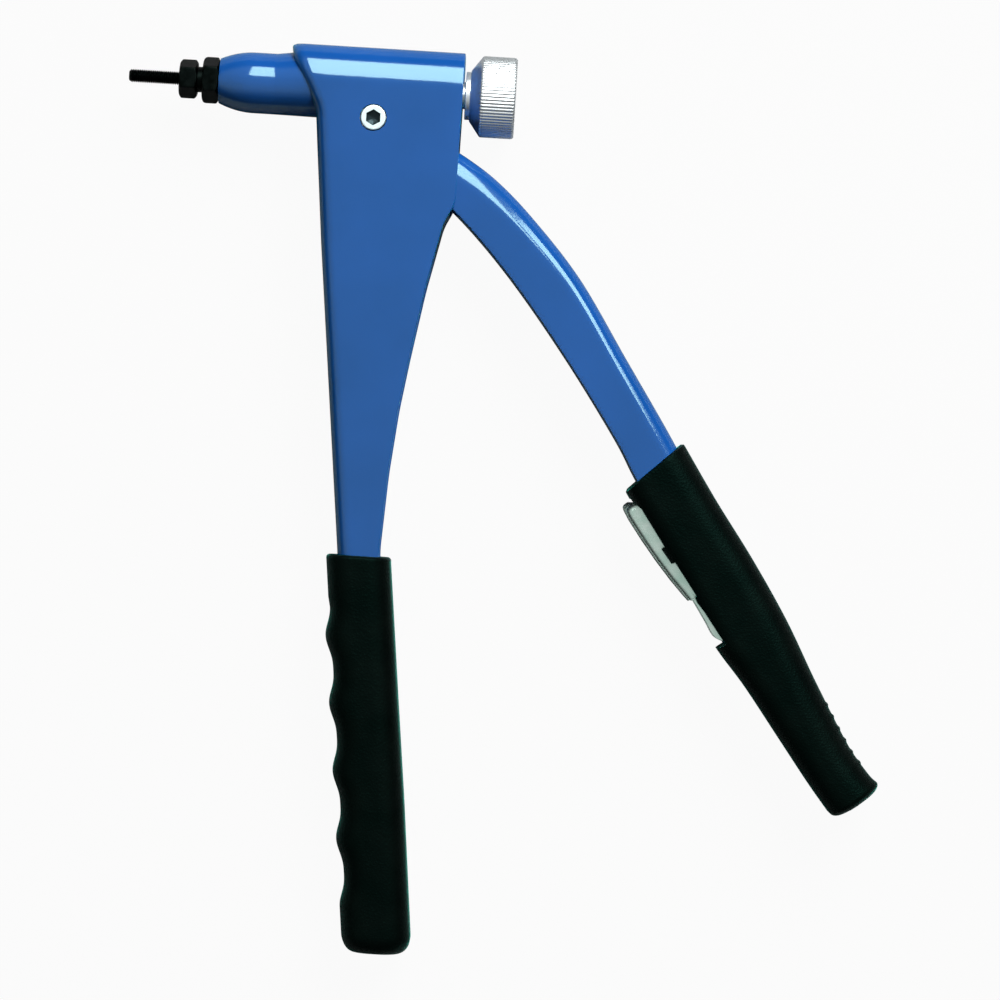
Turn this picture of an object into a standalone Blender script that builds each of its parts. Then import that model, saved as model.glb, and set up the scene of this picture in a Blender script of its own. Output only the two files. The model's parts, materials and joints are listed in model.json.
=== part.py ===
"""Rivet nut hand tool: a blue channel head with a fixed handle, a lever that draws a threaded
mandrel back into an anvil, a knurled knob that spins the mandrel, and a latch on the moving grip.

Sizes are in metres. The tool's own frame has its origin on the lever's pivot axis, in the middle
plane: X runs back along the spindle, Y up to the top of the head, Z out of the near cheek. The
whole tool lies on its side, so Z is also up, and it is slid so that its box stands on the origin.
"""
import math

import bpy
import bmesh
import numpy as np
from mathutils import Vector

# Clearances
SEAT_GAP = 0.0003
RUN_GAP = 0.0002

# Head and fixed handle, one channel
SPINDLE_HEIGHT = 0.0113
HEAD_TOP = 0.0266
HEAD_REAR = 0.0324
HEAD_HALF_WIDTH = 0.0145
HANDLE_HALF_WIDTH = 0.0112
SHEET = 0.0022
HEAD_CROWN = 0.0010
TOP_BEND_RADIUS = HEAD_HALF_WIDTH - HEAD_CROWN
FRONT_BEND_RADIUS = 0.0050
TAPER_TOP = -0.040
TAPER_BOTTOM = -0.160
HANDLE_BOTTOM = -0.296
FRONT_EDGE = [
    (-0.0320, HEAD_TOP), (-0.0306, 0.0200), (-0.0214, 0.0024), (-0.0202, -0.0100),
    (-0.0165, -0.0470), (-0.0038, -0.1593), (0.0102, -0.2960),
]
REAR_EDGE = [
    (HEAD_REAR, HEAD_TOP), (HEAD_REAR - 0.0005, -0.0305), (0.0283, -0.0360), (0.0228, -0.0614),
    (0.0184, -0.0876), (0.0156, -0.1063), (0.0132, -0.1300), (0.0116, -0.1593), (0.0265, -0.2960),
]

# Nose barrel
NOSE_RADIUS = 0.0112
NOSE_TIP_RADIUS = 0.0084
NOSE_FRONT = -0.0580
NOSE_TAPER = 0.0130
NOSE_REAR = -0.0120
NOSE_STOP_LENGTH = 0.0077

# Anvil and lock nut
ANVIL_ACROSS_FLATS = 0.0126
ANVIL_HEAD_LENGTH = 0.0067
ANVIL_NECK_LENGTH = 0.0019
ANVIL_SHANK_RADIUS = 0.0047
LOCK_NUT_ACROSS_FLATS = 0.0150
LOCK_NUT_LENGTH = 0.0059

# Mandrel and its coupling
MANDREL_RADIUS = 0.0025
MANDREL_REACH = 0.0187
MANDREL_HEAD_LENGTH = 0.0050
MANDREL_HEAD_ACROSS_FLATS = 0.0080
COUPLING_RADIUS = 0.0070
COUPLING_LENGTH = 0.0160
COUPLING_WALL = 0.0027

# Spindle train
SPINDLE_FRONT_RADIUS = 0.0040
SPINDLE_REAR_RADIUS = 0.0050
SPINDLE_THREAD_RADIUS = 0.0047
SHOULDER_RADIUS = 0.0075
SHOULDER_LENGTH = 0.0025
COLLAR_RADIUS = 0.0088
COLLAR_LENGTH = 0.0035
SLEEVE_RADIUS = 0.0055
SLEEVE_LENGTH = 0.0138
THRUST_WASHER_RADIUS = 0.0080
THRUST_WASHER_LENGTH = 0.0015
SPRING_PLAY = 0.0011
SPRING_WIRE_RADIUS = 0.0006
SPRING_TURNS = 4
GUIDE_BLOCK_LENGTH = 0.0055
GUIDE_BLOCK_BOTTOM = -0.0010
GUIDE_BUSH_WALL = 0.0018
GUIDE_FLANGE_RADIUS = 0.0090
GUIDE_FLANGE_LENGTH = 0.0012

# Knob
KNOB_RADIUS = 0.0150
KNOB_GAP = 0.0007
KNOB_NECK_LENGTH = 0.0018
KNOB_NECK_RADIUS = 0.00885
KNOB_CONE_FRONT_RADIUS = 0.0094
KNOB_CONE_LENGTH = 0.0041
KNOB_BAND_LENGTH = 0.01265
KNOB_GROOVES = 75
KNOB_GROOVE_DEPTH = 0.0004
KNOB_WEB_LENGTH = 0.0022
KNOB_SCREW_SUNK = 0.0013
KNOB_SCREW_HEAD_RADIUS = 0.00425
KNOB_SCREW_HEAD_LENGTH = 0.0048
KNOB_SCREW_RADIUS = 0.0022
KNOB_SCREW_LENGTH = 0.0115

# Pivot
PIVOT_HEAD_RADIUS = 0.00465
PIVOT_HEAD_PROUD = 0.0004
PIVOT_SCREW_RADIUS = 0.0030
PIVOT_SOCKET_ACROSS_FLATS = 0.0052
PIVOT_SOCKET_DEPTH = 0.0016
PIVOT_BUSH_RADIUS = 0.0045
PIVOT_WASHER_RADIUS = 0.0075
PIVOT_WASHER_LENGTH = 0.0017

# Lever
LEVER_HALF_WIDTH = HEAD_HALF_WIDTH - SHEET - 2 * SEAT_GAP - PIVOT_WASHER_LENGTH
LEVER_CHEEK = 0.0030
LEVER_WEB = 0.0026
LEVER_BEAD_RADIUS = 0.0065
EYE_WALL = 0.0022
FORK_PAD_RADIUS = 0.0045
LEVER_OUTER_EDGE = [
    (0.0235, -0.0060), (0.0318, -0.0100), (0.0460, -0.0192), (0.0609, -0.0329),
    (0.0796, -0.0542), (0.0984, -0.0826), (0.1171, -0.1111), (0.1311, -0.1345),
    (0.1462, -0.1559), (0.1590, -0.1768), (0.1745, -0.2050),
]
LEVER_INNER_EDGE = [
    (0.0165, -0.0205), (0.0342, -0.0347), (0.0540, -0.0557), (0.0762, -0.0840),
    (0.0961, -0.1125), (0.1055, -0.1283), (0.1253, -0.1585), (0.1407, -0.1845), (0.1600, -0.2135),
]

# Grips
GRIP_HALF_THICKNESS = 0.0150
FIXED_GRIP_TOP = -0.1609
FIXED_GRIP_BOTTOM = -0.3069
FIXED_GRIP_CORNER = 0.0090
FIXED_GRIP_REAR = [(0.0158, -0.1609), (0.0219, -0.2134), (0.0263, -0.2502), (0.0324, -0.3069)]
FINGER_CREST_TOP = (-0.0062, -0.1910)
FINGER_CREST_BOTTOM = (0.0055, -0.2941)
FINGER_PITCH = 0.0248
FINGER_DEPTH = 0.0022
GRIP_LIP_RADIUS = 0.0014
FIXED_GRIP_END_ROUND = 0.0070
LEVER_GRIP_OUTER = [
    (0.1211, -0.1120), (0.1345, -0.1323), (0.1496, -0.1537), (0.1633, -0.1751),
    (0.1751, -0.1966), (0.1874, -0.2176), (0.1932, -0.2256), (0.1996, -0.2330),
]
LEVER_GRIP_INNER = [
    (0.1010, -0.1309), (0.1134, -0.1494), (0.1255, -0.1679), (0.1377, -0.1863),
    (0.1499, -0.2010), (0.1644, -0.2204), (0.1753, -0.2350), (0.1832, -0.2449),
]
LEVER_GRIP_INNER_CORNER = 0.0075
LEVER_GRIP_OUTER_CORNER = 0.0105
LEVER_GRIP_DOME = 0.0030

# Latch, on the inner face of the moving grip
LATCH_PLAY = 0.0005
LATCH_HALF_WIDTH = LEVER_HALF_WIDTH - LEVER_CHEEK - LATCH_PLAY
LATCH_SHEET = 0.0013
LATCH_PIN_RADIUS = 0.0015
LATCH_PIN_PLACE = (0.0635, 0.0065)
LATCH_EAR_RADIUS = 0.0032
RECESS_DEPTH_START = 0.0009
RECESS_DEPTH_END = 0.0022
RECESS_START = 0.0026
RECESS_END = 0.0676
WINDOW_CLEARANCE = 0.0008

BLUE = (0.028, 0.122, 0.402)
BLACK_OXIDE = (0.012, 0.012, 0.013)
BLACK_GRIP = (0.010, 0.011, 0.011)
BRIGHT_STEEL = (0.62, 0.63, 0.64)
ZINC = (0.42, 0.50, 0.46)
BRONZE = (0.45, 0.28, 0.10)
NYLON = (0.70, 0.69, 0.64)


# The scene and its helpers

def clear_scene():
    for item in list(bpy.data.objects):
        bpy.data.objects.remove(item, do_unlink=True)


def make_collection(name):
    collection = bpy.data.collections.new(name)
    bpy.context.scene.collection.children.link(collection)
    return collection


clear_scene()
TOOL = make_collection("rivet_nut_tool")
CUTTERS = make_collection("cutters")
ROOT = bpy.data.objects.new("tool_frame", None)
TOOL.objects.link(ROOT)


def finish(name, colour, roughness, metallic):
    """A Principled material with the piece's own colour."""
    material = bpy.data.materials.new(name)
    material.use_nodes = True
    shader = material.node_tree.nodes["Principled BSDF"]
    shader.inputs["Base Color"].default_value = (*colour, 1.0)
    shader.inputs["Roughness"].default_value = roughness
    shader.inputs["Metallic"].default_value = metallic
    material.diffuse_color = (*colour, 1.0)
    return material


def joint_frame(name, place, parent=ROOT):
    """An empty on a joint's axis, which the moving pieces hang from."""
    empty = bpy.data.objects.new(name, None)
    empty.location = place
    empty.parent = parent
    TOOL.objects.link(empty)
    return empty


def add_piece(item, material, parent):
    """Put a piece in the tool, hung from its joint's empty without moving it."""
    TOOL.objects.link(item)
    item.data.materials.clear()
    item.data.materials.append(material)
    item.parent = parent
    item.matrix_parent_inverse.translation = -Vector(parent.location)
    return item


def add_cutter(item):
    """Put a cutter in its own collection, drawn as wire and never rendered."""
    CUTTERS.objects.link(item)
    item.parent = ROOT
    item.hide_render = True
    item.display_type = "WIRE"
    return item


def cut(item, cutter, operation="DIFFERENCE"):
    modifier = item.modifiers.new(operation.lower(), "BOOLEAN")
    modifier.operation = operation
    modifier.solver = "EXACT"
    modifier.object = cutter


def smooth_points(points, steps):
    """Points along the Catmull-Rom curve through the given points."""
    path = [Vector(p) for p in points]
    path = [2 * path[0] - path[1]] + path + [2 * path[-1] - path[-2]]
    result = []
    for a, b, c, d in zip(path, path[1:], path[2:], path[3:]):
        for step in range(steps):
            t = step / steps
            result.append(0.5 * (2 * b + (c - a) * t + (2 * a - 5 * b + 4 * c - d) * t * t
                                 + (3 * b - a - 3 * c + d) * t ** 3))
    result.append(path[-2])
    return result


def displaced(points, distance):
    """The path shifted sideways, to the left of its direction."""
    result = []
    for i, p in enumerate(points):
        along = points[min(i + 1, len(points) - 1)] - points[max(i - 1, 0)]
        along.normalize()
        result.append(p + distance * Vector((-along.y, along.x)))
    return result


def arc(centre, radius, start, end, steps):
    """Points on an arc, with its angles in degrees."""
    angles = np.radians(np.linspace(start, end, steps + 1))
    return [Vector((centre[0] + radius * math.cos(a), centre[1] + radius * math.sin(a)))
            for a in angles]


def circle(centre, radius, steps):
    return arc(centre, radius, 0, 360 * (1 - 1 / steps), steps - 1)


def outline_solid(name, outlines, low, high):
    """A flat outline, with any holes, as a closed plate between two heights."""
    curve = bpy.data.curves.new(name, "CURVE")
    curve.dimensions = "2D"
    curve.fill_mode = "BOTH"
    curve.extrude = (high - low) / 2
    for outline in outlines:
        spline = curve.splines.new("POLY")
        spline.points.add(len(outline) - 1)
        for point, p in zip(spline.points, outline):
            point.co = (p[0], p[1], 0.0, 1.0)
        spline.use_cyclic_u = True
    drawn = bpy.data.objects.new(name, curve)
    TOOL.objects.link(drawn)
    graph = bpy.context.evaluated_depsgraph_get()
    mesh = bpy.data.meshes.new_from_object(drawn.evaluated_get(graph))
    bpy.data.objects.remove(drawn)
    work = bmesh.new()
    work.from_mesh(mesh)
    bmesh.ops.remove_doubles(work, verts=work.verts, dist=1e-6)
    bmesh.ops.dissolve_limit(work, angle_limit=math.radians(0.3), verts=work.verts, edges=work.edges)
    bmesh.ops.translate(work, verts=work.verts, vec=(0.0, 0.0, (high + low) / 2))
    bmesh.ops.recalc_face_normals(work, faces=work.faces)
    work.to_mesh(mesh)
    work.free()
    return bpy.data.objects.new(name, mesh)


def loft_solid(name, rings):
    """A closed skin through rings of equal point counts, capped at both ends."""
    count = len(rings[0])
    points = [p for ring in rings for p in ring]
    faces = [list(range(count)), [len(points) - count + i for i in range(count)]]
    for ring in range(len(rings) - 1):
        for i in range(count):
            a = ring * count + i
            b = ring * count + (i + 1) % count
            faces.append([a, b, b + count, a + count])
    mesh = bpy.data.meshes.new(name)
    mesh.from_pydata(points, [], faces)
    work = bmesh.new()
    work.from_mesh(mesh)
    bmesh.ops.recalc_face_normals(work, faces=work.faces)
    work.to_mesh(mesh)
    work.free()
    return bpy.data.objects.new(name, mesh)


def turned_solid(name, profile, steps):
    """Turn a profile of (station, radius) pairs about the spindle's axis. The profile runs
    front to rear along the outer side, and a bored piece comes back along its bore."""
    bored = all(radius > 0 for station, radius in profile)
    points = [(radius, 0.0, station) for station, radius in reversed(profile)]
    edges = [(i, i + 1) for i in range(len(points) - 1)]
    if bored:
        edges.append((len(points) - 1, 0))
    mesh = bpy.data.meshes.new(name)
    mesh.from_pydata(points, edges, [])
    item = bpy.data.objects.new(name, mesh)
    turn = item.modifiers.new("turn", "SCREW")
    turn.axis = "Z"
    turn.steps = steps
    turn.render_steps = steps
    turn.use_merge_vertices = True
    turn.merge_threshold = 0.00001
    turn.use_smooth_shade = True
    item.rotation_euler = (0.0, math.pi / 2, 0.0)
    item.location = (0.0, SPINDLE_HEIGHT, 0.0)
    return item


def tube_profile(front, rear, radius, bore):
    return [(front, radius), (rear, radius), (rear, bore), (front, bore)]


def cross_cylinder(name, radius, low, high, place=(0.0, 0.0), steps=32):
    """A cylinder across the tool, along Z."""
    work = bmesh.new()
    bmesh.ops.create_cone(work, cap_ends=True, segments=steps, radius1=radius, radius2=radius,
                          depth=high - low)
    bmesh.ops.translate(work, verts=work.verts, vec=(place[0], place[1], (low + high) / 2))
    mesh = bpy.data.meshes.new(name)
    work.to_mesh(mesh)
    work.free()
    return bpy.data.objects.new(name, mesh)


def cross_ring(name, radius, bore, low, high):
    """A washer or tube across the tool, along Z."""
    rings = [circle((0.0, 0.0), r, 32) for r in (radius, bore)]
    return outline_solid(name, rings, low, high)


def hexagon(across_flats):
    """A hexagon with a corner up."""
    return arc((0.0, 0.0), across_flats / math.sqrt(3), 90, 390, 5)


def wrench_flats(name, across_flats, front, rear):
    """A cutter that leaves a hexagon, with its corners up and down, on a turned piece."""
    reach = circle((0.0, 0.0), across_flats, 24)
    item = outline_solid(name, [reach, hexagon(across_flats)], front, rear)
    item.rotation_euler = (0.0, math.pi / 2, 0.0)
    item.location = (0.0, SPINDLE_HEIGHT, 0.0)
    return add_cutter(item)


# Outline of the head and handle

def edge_at(edge, height):
    """Where a front or rear edge lies at this height, between its listed points."""
    rising = sorted(edge, key=lambda p: p[1])
    return float(np.interp(height, [p[1] for p in rising], [p[0] for p in rising]))


def head_half_width(height):
    share = (TAPER_TOP - height) / (TAPER_TOP - TAPER_BOTTOM)
    share = min(max(share, 0.0), 1.0)
    return HEAD_HALF_WIDTH + (HANDLE_HALF_WIDTH - HEAD_HALF_WIDTH) * share


def channel_section(height, inset, past_rear):
    """Front corners rounded, rear corners square, at one height, moved in by the inset."""
    slope = (edge_at(FRONT_EDGE, height + 0.001) - edge_at(FRONT_EDGE, height - 0.001)) / 0.002
    front = edge_at(FRONT_EDGE, height) + inset * math.sqrt(1 + slope * slope)
    rear = edge_at(REAR_EDGE, height) + past_rear
    half = head_half_width(height) - inset
    bend_height = HEAD_TOP - TOP_BEND_RADIUS
    if height > bend_height:
        radius = TOP_BEND_RADIUS - inset
        up = min(height - bend_height, radius)
        half -= radius - math.sqrt(radius * radius - up * up)
    corner = min(FRONT_BEND_RADIUS - inset, 0.98 * half)
    ring = [(rear, -half), (rear, half)]
    for a in np.radians(np.linspace(90, 180, 6)):
        ring.append((front + corner + corner * math.cos(a), half - corner + corner * math.sin(a)))
    for a in np.radians(np.linspace(180, 270, 6)):
        ring.append((front + corner + corner * math.cos(a), corner - half + corner * math.sin(a)))
    return [(x, height, z) for x, z in ring]


def channel_heights(inset, bottom):
    """Heights of the sections: both edges' own points, and the top bend's arc."""
    bend_height = HEAD_TOP - TOP_BEND_RADIUS
    radius = TOP_BEND_RADIUS - inset
    heights = {p[1] for p in FRONT_EDGE + REAR_EDGE if bottom < p[1] < bend_height}
    heights |= {bottom, TAPER_TOP}
    heights |= {bend_height + radius * math.sin(a) for a in np.radians(np.linspace(0, 90, 9))}
    return sorted(heights)


def channel_form(name, inset, past_rear, bottom, top=None):
    heights = channel_heights(inset, bottom)
    if top is not None:
        heights = [h for h in heights if h < top] + [top]
    return loft_solid(name, [channel_section(h, inset, past_rear) for h in heights])


# Where the pieces of the spindle train stand, from the fork's pads backwards

COLLAR_FRONT = FORK_PAD_RADIUS + SEAT_GAP
COLLAR_REAR = COLLAR_FRONT + COLLAR_LENGTH
THRUST_WASHER_FRONT = COLLAR_REAR + SEAT_GAP
SHOULDER_FRONT = THRUST_WASHER_FRONT + THRUST_WASHER_LENGTH + SEAT_GAP
SHOULDER_REAR = SHOULDER_FRONT + SHOULDER_LENGTH
GUIDE_BLOCK_REAR = HEAD_REAR - SEAT_GAP
GUIDE_BLOCK_FRONT = GUIDE_BLOCK_REAR - GUIDE_BLOCK_LENGTH
GUIDE_FLANGE_FRONT = GUIDE_BLOCK_FRONT - SEAT_GAP - GUIDE_FLANGE_LENGTH
NOSE_STOP = NOSE_FRONT + NOSE_STOP_LENGTH
ANVIL_SHANK_END = NOSE_STOP - SEAT_GAP
COUPLING_FRONT = NOSE_STOP + SEAT_GAP
COUPLING_REAR = COUPLING_FRONT + COUPLING_LENGTH
MANDREL_HEAD_FRONT = COUPLING_FRONT + COUPLING_WALL + SEAT_GAP
MANDREL_HEAD_CORNER = MANDREL_HEAD_ACROSS_FLATS / math.sqrt(3)
SPINDLE_FRONT = MANDREL_HEAD_FRONT + MANDREL_HEAD_LENGTH + SEAT_GAP
LOCK_NUT_REAR = NOSE_FRONT - SEAT_GAP
LOCK_NUT_FRONT = LOCK_NUT_REAR - LOCK_NUT_LENGTH
ANVIL_HEAD_REAR = LOCK_NUT_FRONT - ANVIL_NECK_LENGTH
ANVIL_FRONT = ANVIL_HEAD_REAR - ANVIL_HEAD_LENGTH
MANDREL_TIP = ANVIL_FRONT - MANDREL_REACH
GUIDE_BUSH_RADIUS = SPINDLE_REAR_RADIUS + RUN_GAP + GUIDE_BUSH_WALL
KNOB_NECK_FRONT = HEAD_REAR + KNOB_GAP
KNOB_BAND_FRONT = KNOB_NECK_FRONT + KNOB_NECK_LENGTH + KNOB_CONE_LENGTH
KNOB_REAR = KNOB_BAND_FRONT + KNOB_BAND_LENGTH
KNOB_RECESS_FRONT = KNOB_REAR - KNOB_SCREW_SUNK - KNOB_SCREW_HEAD_LENGTH - SEAT_GAP
KNOB_WEB_FRONT = KNOB_RECESS_FRONT - KNOB_WEB_LENGTH
SPINDLE_REAR = KNOB_WEB_FRONT - SEAT_GAP

# Where the pivot's pieces stand, from the middle plane outwards

HEAD_INSIDE = HEAD_HALF_WIDTH - SHEET
PIVOT_BUSH_END = HEAD_INSIDE - SEAT_GAP
PIVOT_HEAD_LOW = PIVOT_BUSH_END + SEAT_GAP
PIVOT_HEAD_HIGH = HEAD_HALF_WIDTH + PIVOT_HEAD_PROUD
PIVOT_SEAT_RADIUS = PIVOT_HEAD_RADIUS + SEAT_GAP
EYE_RADIUS = PIVOT_BUSH_RADIUS + SEAT_GAP + EYE_WALL

# The face of the moving grip that carries the latch: places along it and into the grip

FACE_START = Vector(LEVER_GRIP_INNER[0])
FACE_ALONG = (Vector(LEVER_GRIP_INNER[3]) - FACE_START).normalized()
FACE_INTO = Vector((-FACE_ALONG.y, FACE_ALONG.x))


def on_face(along, into):
    return FACE_START + along * FACE_ALONG + into * FACE_INTO


# Pieces of the fixed body

def build_housing(material):
    """Pressed channel: two cheeks joined along the front and over the top, open behind."""
    item = channel_form("housing", 0.0, 0.0, HANDLE_BOTTOM)
    inside = add_cutter(channel_form("housing_inside", SHEET, 0.02, HANDLE_BOTTOM - 0.01))
    cut(item, inside)
    nose_hole = turned_solid("nose_hole", [
        (FRONT_EDGE[0][0] - 0.01, 0.0), (FRONT_EDGE[0][0] - 0.01, NOSE_RADIUS + SEAT_GAP),
        (NOSE_REAR, NOSE_RADIUS + SEAT_GAP), (NOSE_REAR, 0.0)], 44)
    cut(item, add_cutter(nose_hole))
    pivot_hole = cross_cylinder("pivot_hole", PIVOT_SEAT_RADIUS, -0.03, 0.03)
    cut(item, add_cutter(pivot_hole))
    return add_piece(item, material, ROOT)


def build_nose_housing(material):
    """Turned barrel with a rounded front, bored for the anvil and for the coupling."""
    profile = []
    for share in np.linspace(0, 1, 7):
        rise = 1 - (1 - share) ** 2
        radius = NOSE_TIP_RADIUS + (NOSE_RADIUS - NOSE_TIP_RADIUS) * rise
        profile.append((NOSE_FRONT + NOSE_TAPER * share, radius))
    bore = COUPLING_RADIUS + SEAT_GAP
    front_bore = ANVIL_SHANK_RADIUS + SEAT_GAP
    profile += [(NOSE_REAR, NOSE_RADIUS), (NOSE_REAR, bore), (NOSE_STOP, bore),
                (NOSE_STOP, front_bore), (NOSE_FRONT, front_bore)]
    return add_piece(turned_solid("nose_housing", profile, 44), material, ROOT)


def build_anvil(material):
    """Hexagon head with chamfered corners, neck and shank, bored for the mandrel."""
    corner = ANVIL_ACROSS_FLATS / math.sqrt(3)
    flat = ANVIL_ACROSS_FLATS / 2
    chamfer = (corner - flat) * 0.9
    bore = MANDREL_RADIUS + SEAT_GAP
    profile = [
        (ANVIL_FRONT, flat - 0.0002), (ANVIL_FRONT + chamfer, corner),
        (ANVIL_HEAD_REAR - chamfer, corner), (ANVIL_HEAD_REAR, flat - 0.0002),
        (ANVIL_HEAD_REAR, ANVIL_SHANK_RADIUS), (ANVIL_SHANK_END, ANVIL_SHANK_RADIUS),
        (ANVIL_SHANK_END, bore), (ANVIL_FRONT, bore)]
    item = turned_solid("anvil", profile, 36)
    flats = wrench_flats("anvil_flats", ANVIL_ACROSS_FLATS, ANVIL_FRONT - 0.001,
                         ANVIL_HEAD_REAR + 0.0005)
    cut(item, flats)
    return add_piece(item, material, ROOT)


def build_lock_nut(material):
    """Hexagon nut with rounded front corners on the anvil's shank."""
    corner = LOCK_NUT_ACROSS_FLATS / math.sqrt(3)
    flat = LOCK_NUT_ACROSS_FLATS / 2
    chamfer = corner - flat
    bore = ANVIL_SHANK_RADIUS + SEAT_GAP
    profile = [(LOCK_NUT_FRONT, flat - 0.0007), (LOCK_NUT_FRONT + chamfer, corner - 0.0002),
               (LOCK_NUT_REAR - chamfer * 0.6, corner - 0.0002), (LOCK_NUT_REAR, flat - 0.0001),
               (LOCK_NUT_REAR, bore), (LOCK_NUT_FRONT, bore)]
    item = turned_solid("anvil_lock_nut", profile, 36)
    flats = wrench_flats("lock_nut_flats", LOCK_NUT_ACROSS_FLATS, LOCK_NUT_FRONT - 0.001,
                         LOCK_NUT_REAR + 0.001)
    cut(item, flats)
    return add_piece(item, material, ROOT)


def build_guide_block(material):
    """Block that closes the back of the head between the cheeks, with rounded top corners."""
    half = HEAD_INSIDE - SEAT_GAP
    top = HEAD_TOP - SHEET - SEAT_GAP
    corner = TOP_BEND_RADIUS - SHEET - SEAT_GAP
    outline = [Vector((-half, GUIDE_BLOCK_BOTTOM)), Vector((half, GUIDE_BLOCK_BOTTOM))]
    outline += arc((half - corner, top - corner), corner, 0, 90, 6)
    outline += arc((corner - half, top - corner), corner, 90, 180, 6)
    bore = circle((0.0, SPINDLE_HEIGHT), GUIDE_BUSH_RADIUS + SEAT_GAP, 40)
    item = outline_solid("rear_guide_block", [outline, bore], GUIDE_BLOCK_FRONT, GUIDE_BLOCK_REAR)
    item.rotation_euler = (0.0, math.pi / 2, 0.0)
    return add_piece(item, material, ROOT)


def build_guide_bush(material):
    """Flanged bush that carries the spindle; the return spring stands on its flange."""
    bore = SPINDLE_REAR_RADIUS + RUN_GAP
    front = GUIDE_FLANGE_FRONT
    profile = [
        (front, GUIDE_FLANGE_RADIUS), (front + GUIDE_FLANGE_LENGTH, GUIDE_FLANGE_RADIUS),
        (front + GUIDE_FLANGE_LENGTH, GUIDE_BUSH_RADIUS), (GUIDE_BLOCK_REAR, GUIDE_BUSH_RADIUS),
        (GUIDE_BLOCK_REAR, bore), (front, bore)]
    return add_piece(turned_solid("rear_guide_bush", profile, 40), material, ROOT)


def build_pivot_screw(material):
    """Screw across the head: a flush round head with a hexagon socket, and its shank."""
    item = cross_cylinder("pivot_screw", PIVOT_HEAD_RADIUS, PIVOT_HEAD_LOW, PIVOT_HEAD_HIGH)
    shank = cross_cylinder("pivot_shank", PIVOT_SCREW_RADIUS, -PIVOT_HEAD_HIGH + 0.0004,
                           PIVOT_HEAD_LOW + 0.0008)
    cut(item, add_cutter(shank), "UNION")
    socket = outline_solid("pivot_socket", [hexagon(PIVOT_SOCKET_ACROSS_FLATS)],
                           PIVOT_HEAD_HIGH - PIVOT_SOCKET_DEPTH, PIVOT_HEAD_HIGH + 0.001)
    cut(item, add_cutter(socket))
    return add_piece(item, material, ROOT)


def build_fixed_grip(material):
    """Thick sleeve over the handle: finger scallops in front, a plain back, a closed end."""
    crest = Vector(FINGER_CREST_TOP)
    lean = (FINGER_CREST_BOTTOM[0] - crest.x) / (FINGER_CREST_BOTTOM[1] - crest.y)
    first_valley = crest.y + FINGER_PITCH / 2
    heights = list(np.linspace(first_valley, FIXED_GRIP_BOTTOM + FIXED_GRIP_END_ROUND, 37))
    heights = [FIXED_GRIP_TOP, FIXED_GRIP_TOP - GRIP_LIP_RADIUS * 0.3,
               FIXED_GRIP_TOP - GRIP_LIP_RADIUS] + heights
    end_angles = np.radians(np.linspace(15, 90, 6))
    heights += [FIXED_GRIP_BOTTOM + FIXED_GRIP_END_ROUND * (1 - math.sin(a)) for a in end_angles]
    rings = []
    for height in heights:
        phase = 2 * math.pi * (height - crest.y) / FINGER_PITCH
        valley = 1 - (0.5 + 0.5 * math.cos(phase)) ** 1.5
        if height > first_valley:
            valley = 0.8
        if height < FINGER_CREST_BOTTOM[1]:
            valley = 0.0
        front = crest.x + lean * (height - crest.y) + FINGER_DEPTH * valley
        rear = edge_at(FIXED_GRIP_REAR, height)
        half = GRIP_HALF_THICKNESS
        down = max(FIXED_GRIP_TOP - height, 0.0)
        trim = 0.0
        if down < GRIP_LIP_RADIUS:
            left = GRIP_LIP_RADIUS - down
            trim = GRIP_LIP_RADIUS - math.sqrt(GRIP_LIP_RADIUS ** 2 - left ** 2)
        low = FIXED_GRIP_BOTTOM + FIXED_GRIP_END_ROUND - height
        if low > 0:
            full = FIXED_GRIP_END_ROUND
            trim = 0.9 * (full - math.sqrt(max(full ** 2 - low ** 2, 0.0)))
        rings.append(rounded_ring(front + trim * 0.7, rear - trim, half - trim,
                                  FIXED_GRIP_CORNER - trim * 0.4, FIXED_GRIP_CORNER - trim * 0.4,
                                  lambda x, z, y=height: (x, y, z)))
    item = loft_solid("fixed_grip", rings)
    hole = channel_form("fixed_grip_hole", -SEAT_GAP, SEAT_GAP, HANDLE_BOTTOM - SEAT_GAP,
                        FIXED_GRIP_TOP + 0.005)
    cut(item, add_cutter(hole))
    return add_piece(item, material, ROOT)


def rounded_ring(first, last, half, first_corner, last_corner, place, steps=4):
    """A rounded rectangle from first to last and half to each side, put in place by a rule.
    A corner with no radius is a single point."""
    centres = [
        (last - last_corner, half - last_corner, last_corner, 0),
        (first + first_corner, half - first_corner, first_corner, 90),
        (first + first_corner, first_corner - half, first_corner, 180),
        (last - last_corner, last_corner - half, last_corner, 270)]
    ring = []
    for x, z, radius, start in centres:
        count = steps + 1 if radius > 0 else 1
        for a in np.radians(np.linspace(start, start + 90, count)):
            ring.append(place(x + radius * math.cos(a), z + radius * math.sin(a)))
    return ring


# Pieces of the spindle train

def build_thrust_collar():
    """Sleeve that runs between the fork's arms, with the flange that they push."""
    bore = SPINDLE_FRONT_RADIUS + SEAT_GAP
    front = COLLAR_FRONT - SLEEVE_LENGTH
    profile = [
        (front, SLEEVE_RADIUS), (COLLAR_FRONT, SLEEVE_RADIUS), (COLLAR_FRONT, COLLAR_RADIUS),
        (COLLAR_REAR, COLLAR_RADIUS), (COLLAR_REAR, bore), (front, bore)]
    return turned_solid("thrust_collar", profile, 40)


def build_thrust_washer():
    profile = tube_profile(THRUST_WASHER_FRONT, THRUST_WASHER_FRONT + THRUST_WASHER_LENGTH,
                           THRUST_WASHER_RADIUS, SPINDLE_FRONT_RADIUS + SEAT_GAP)
    return turned_solid("thrust_washer", profile, 32)


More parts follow.
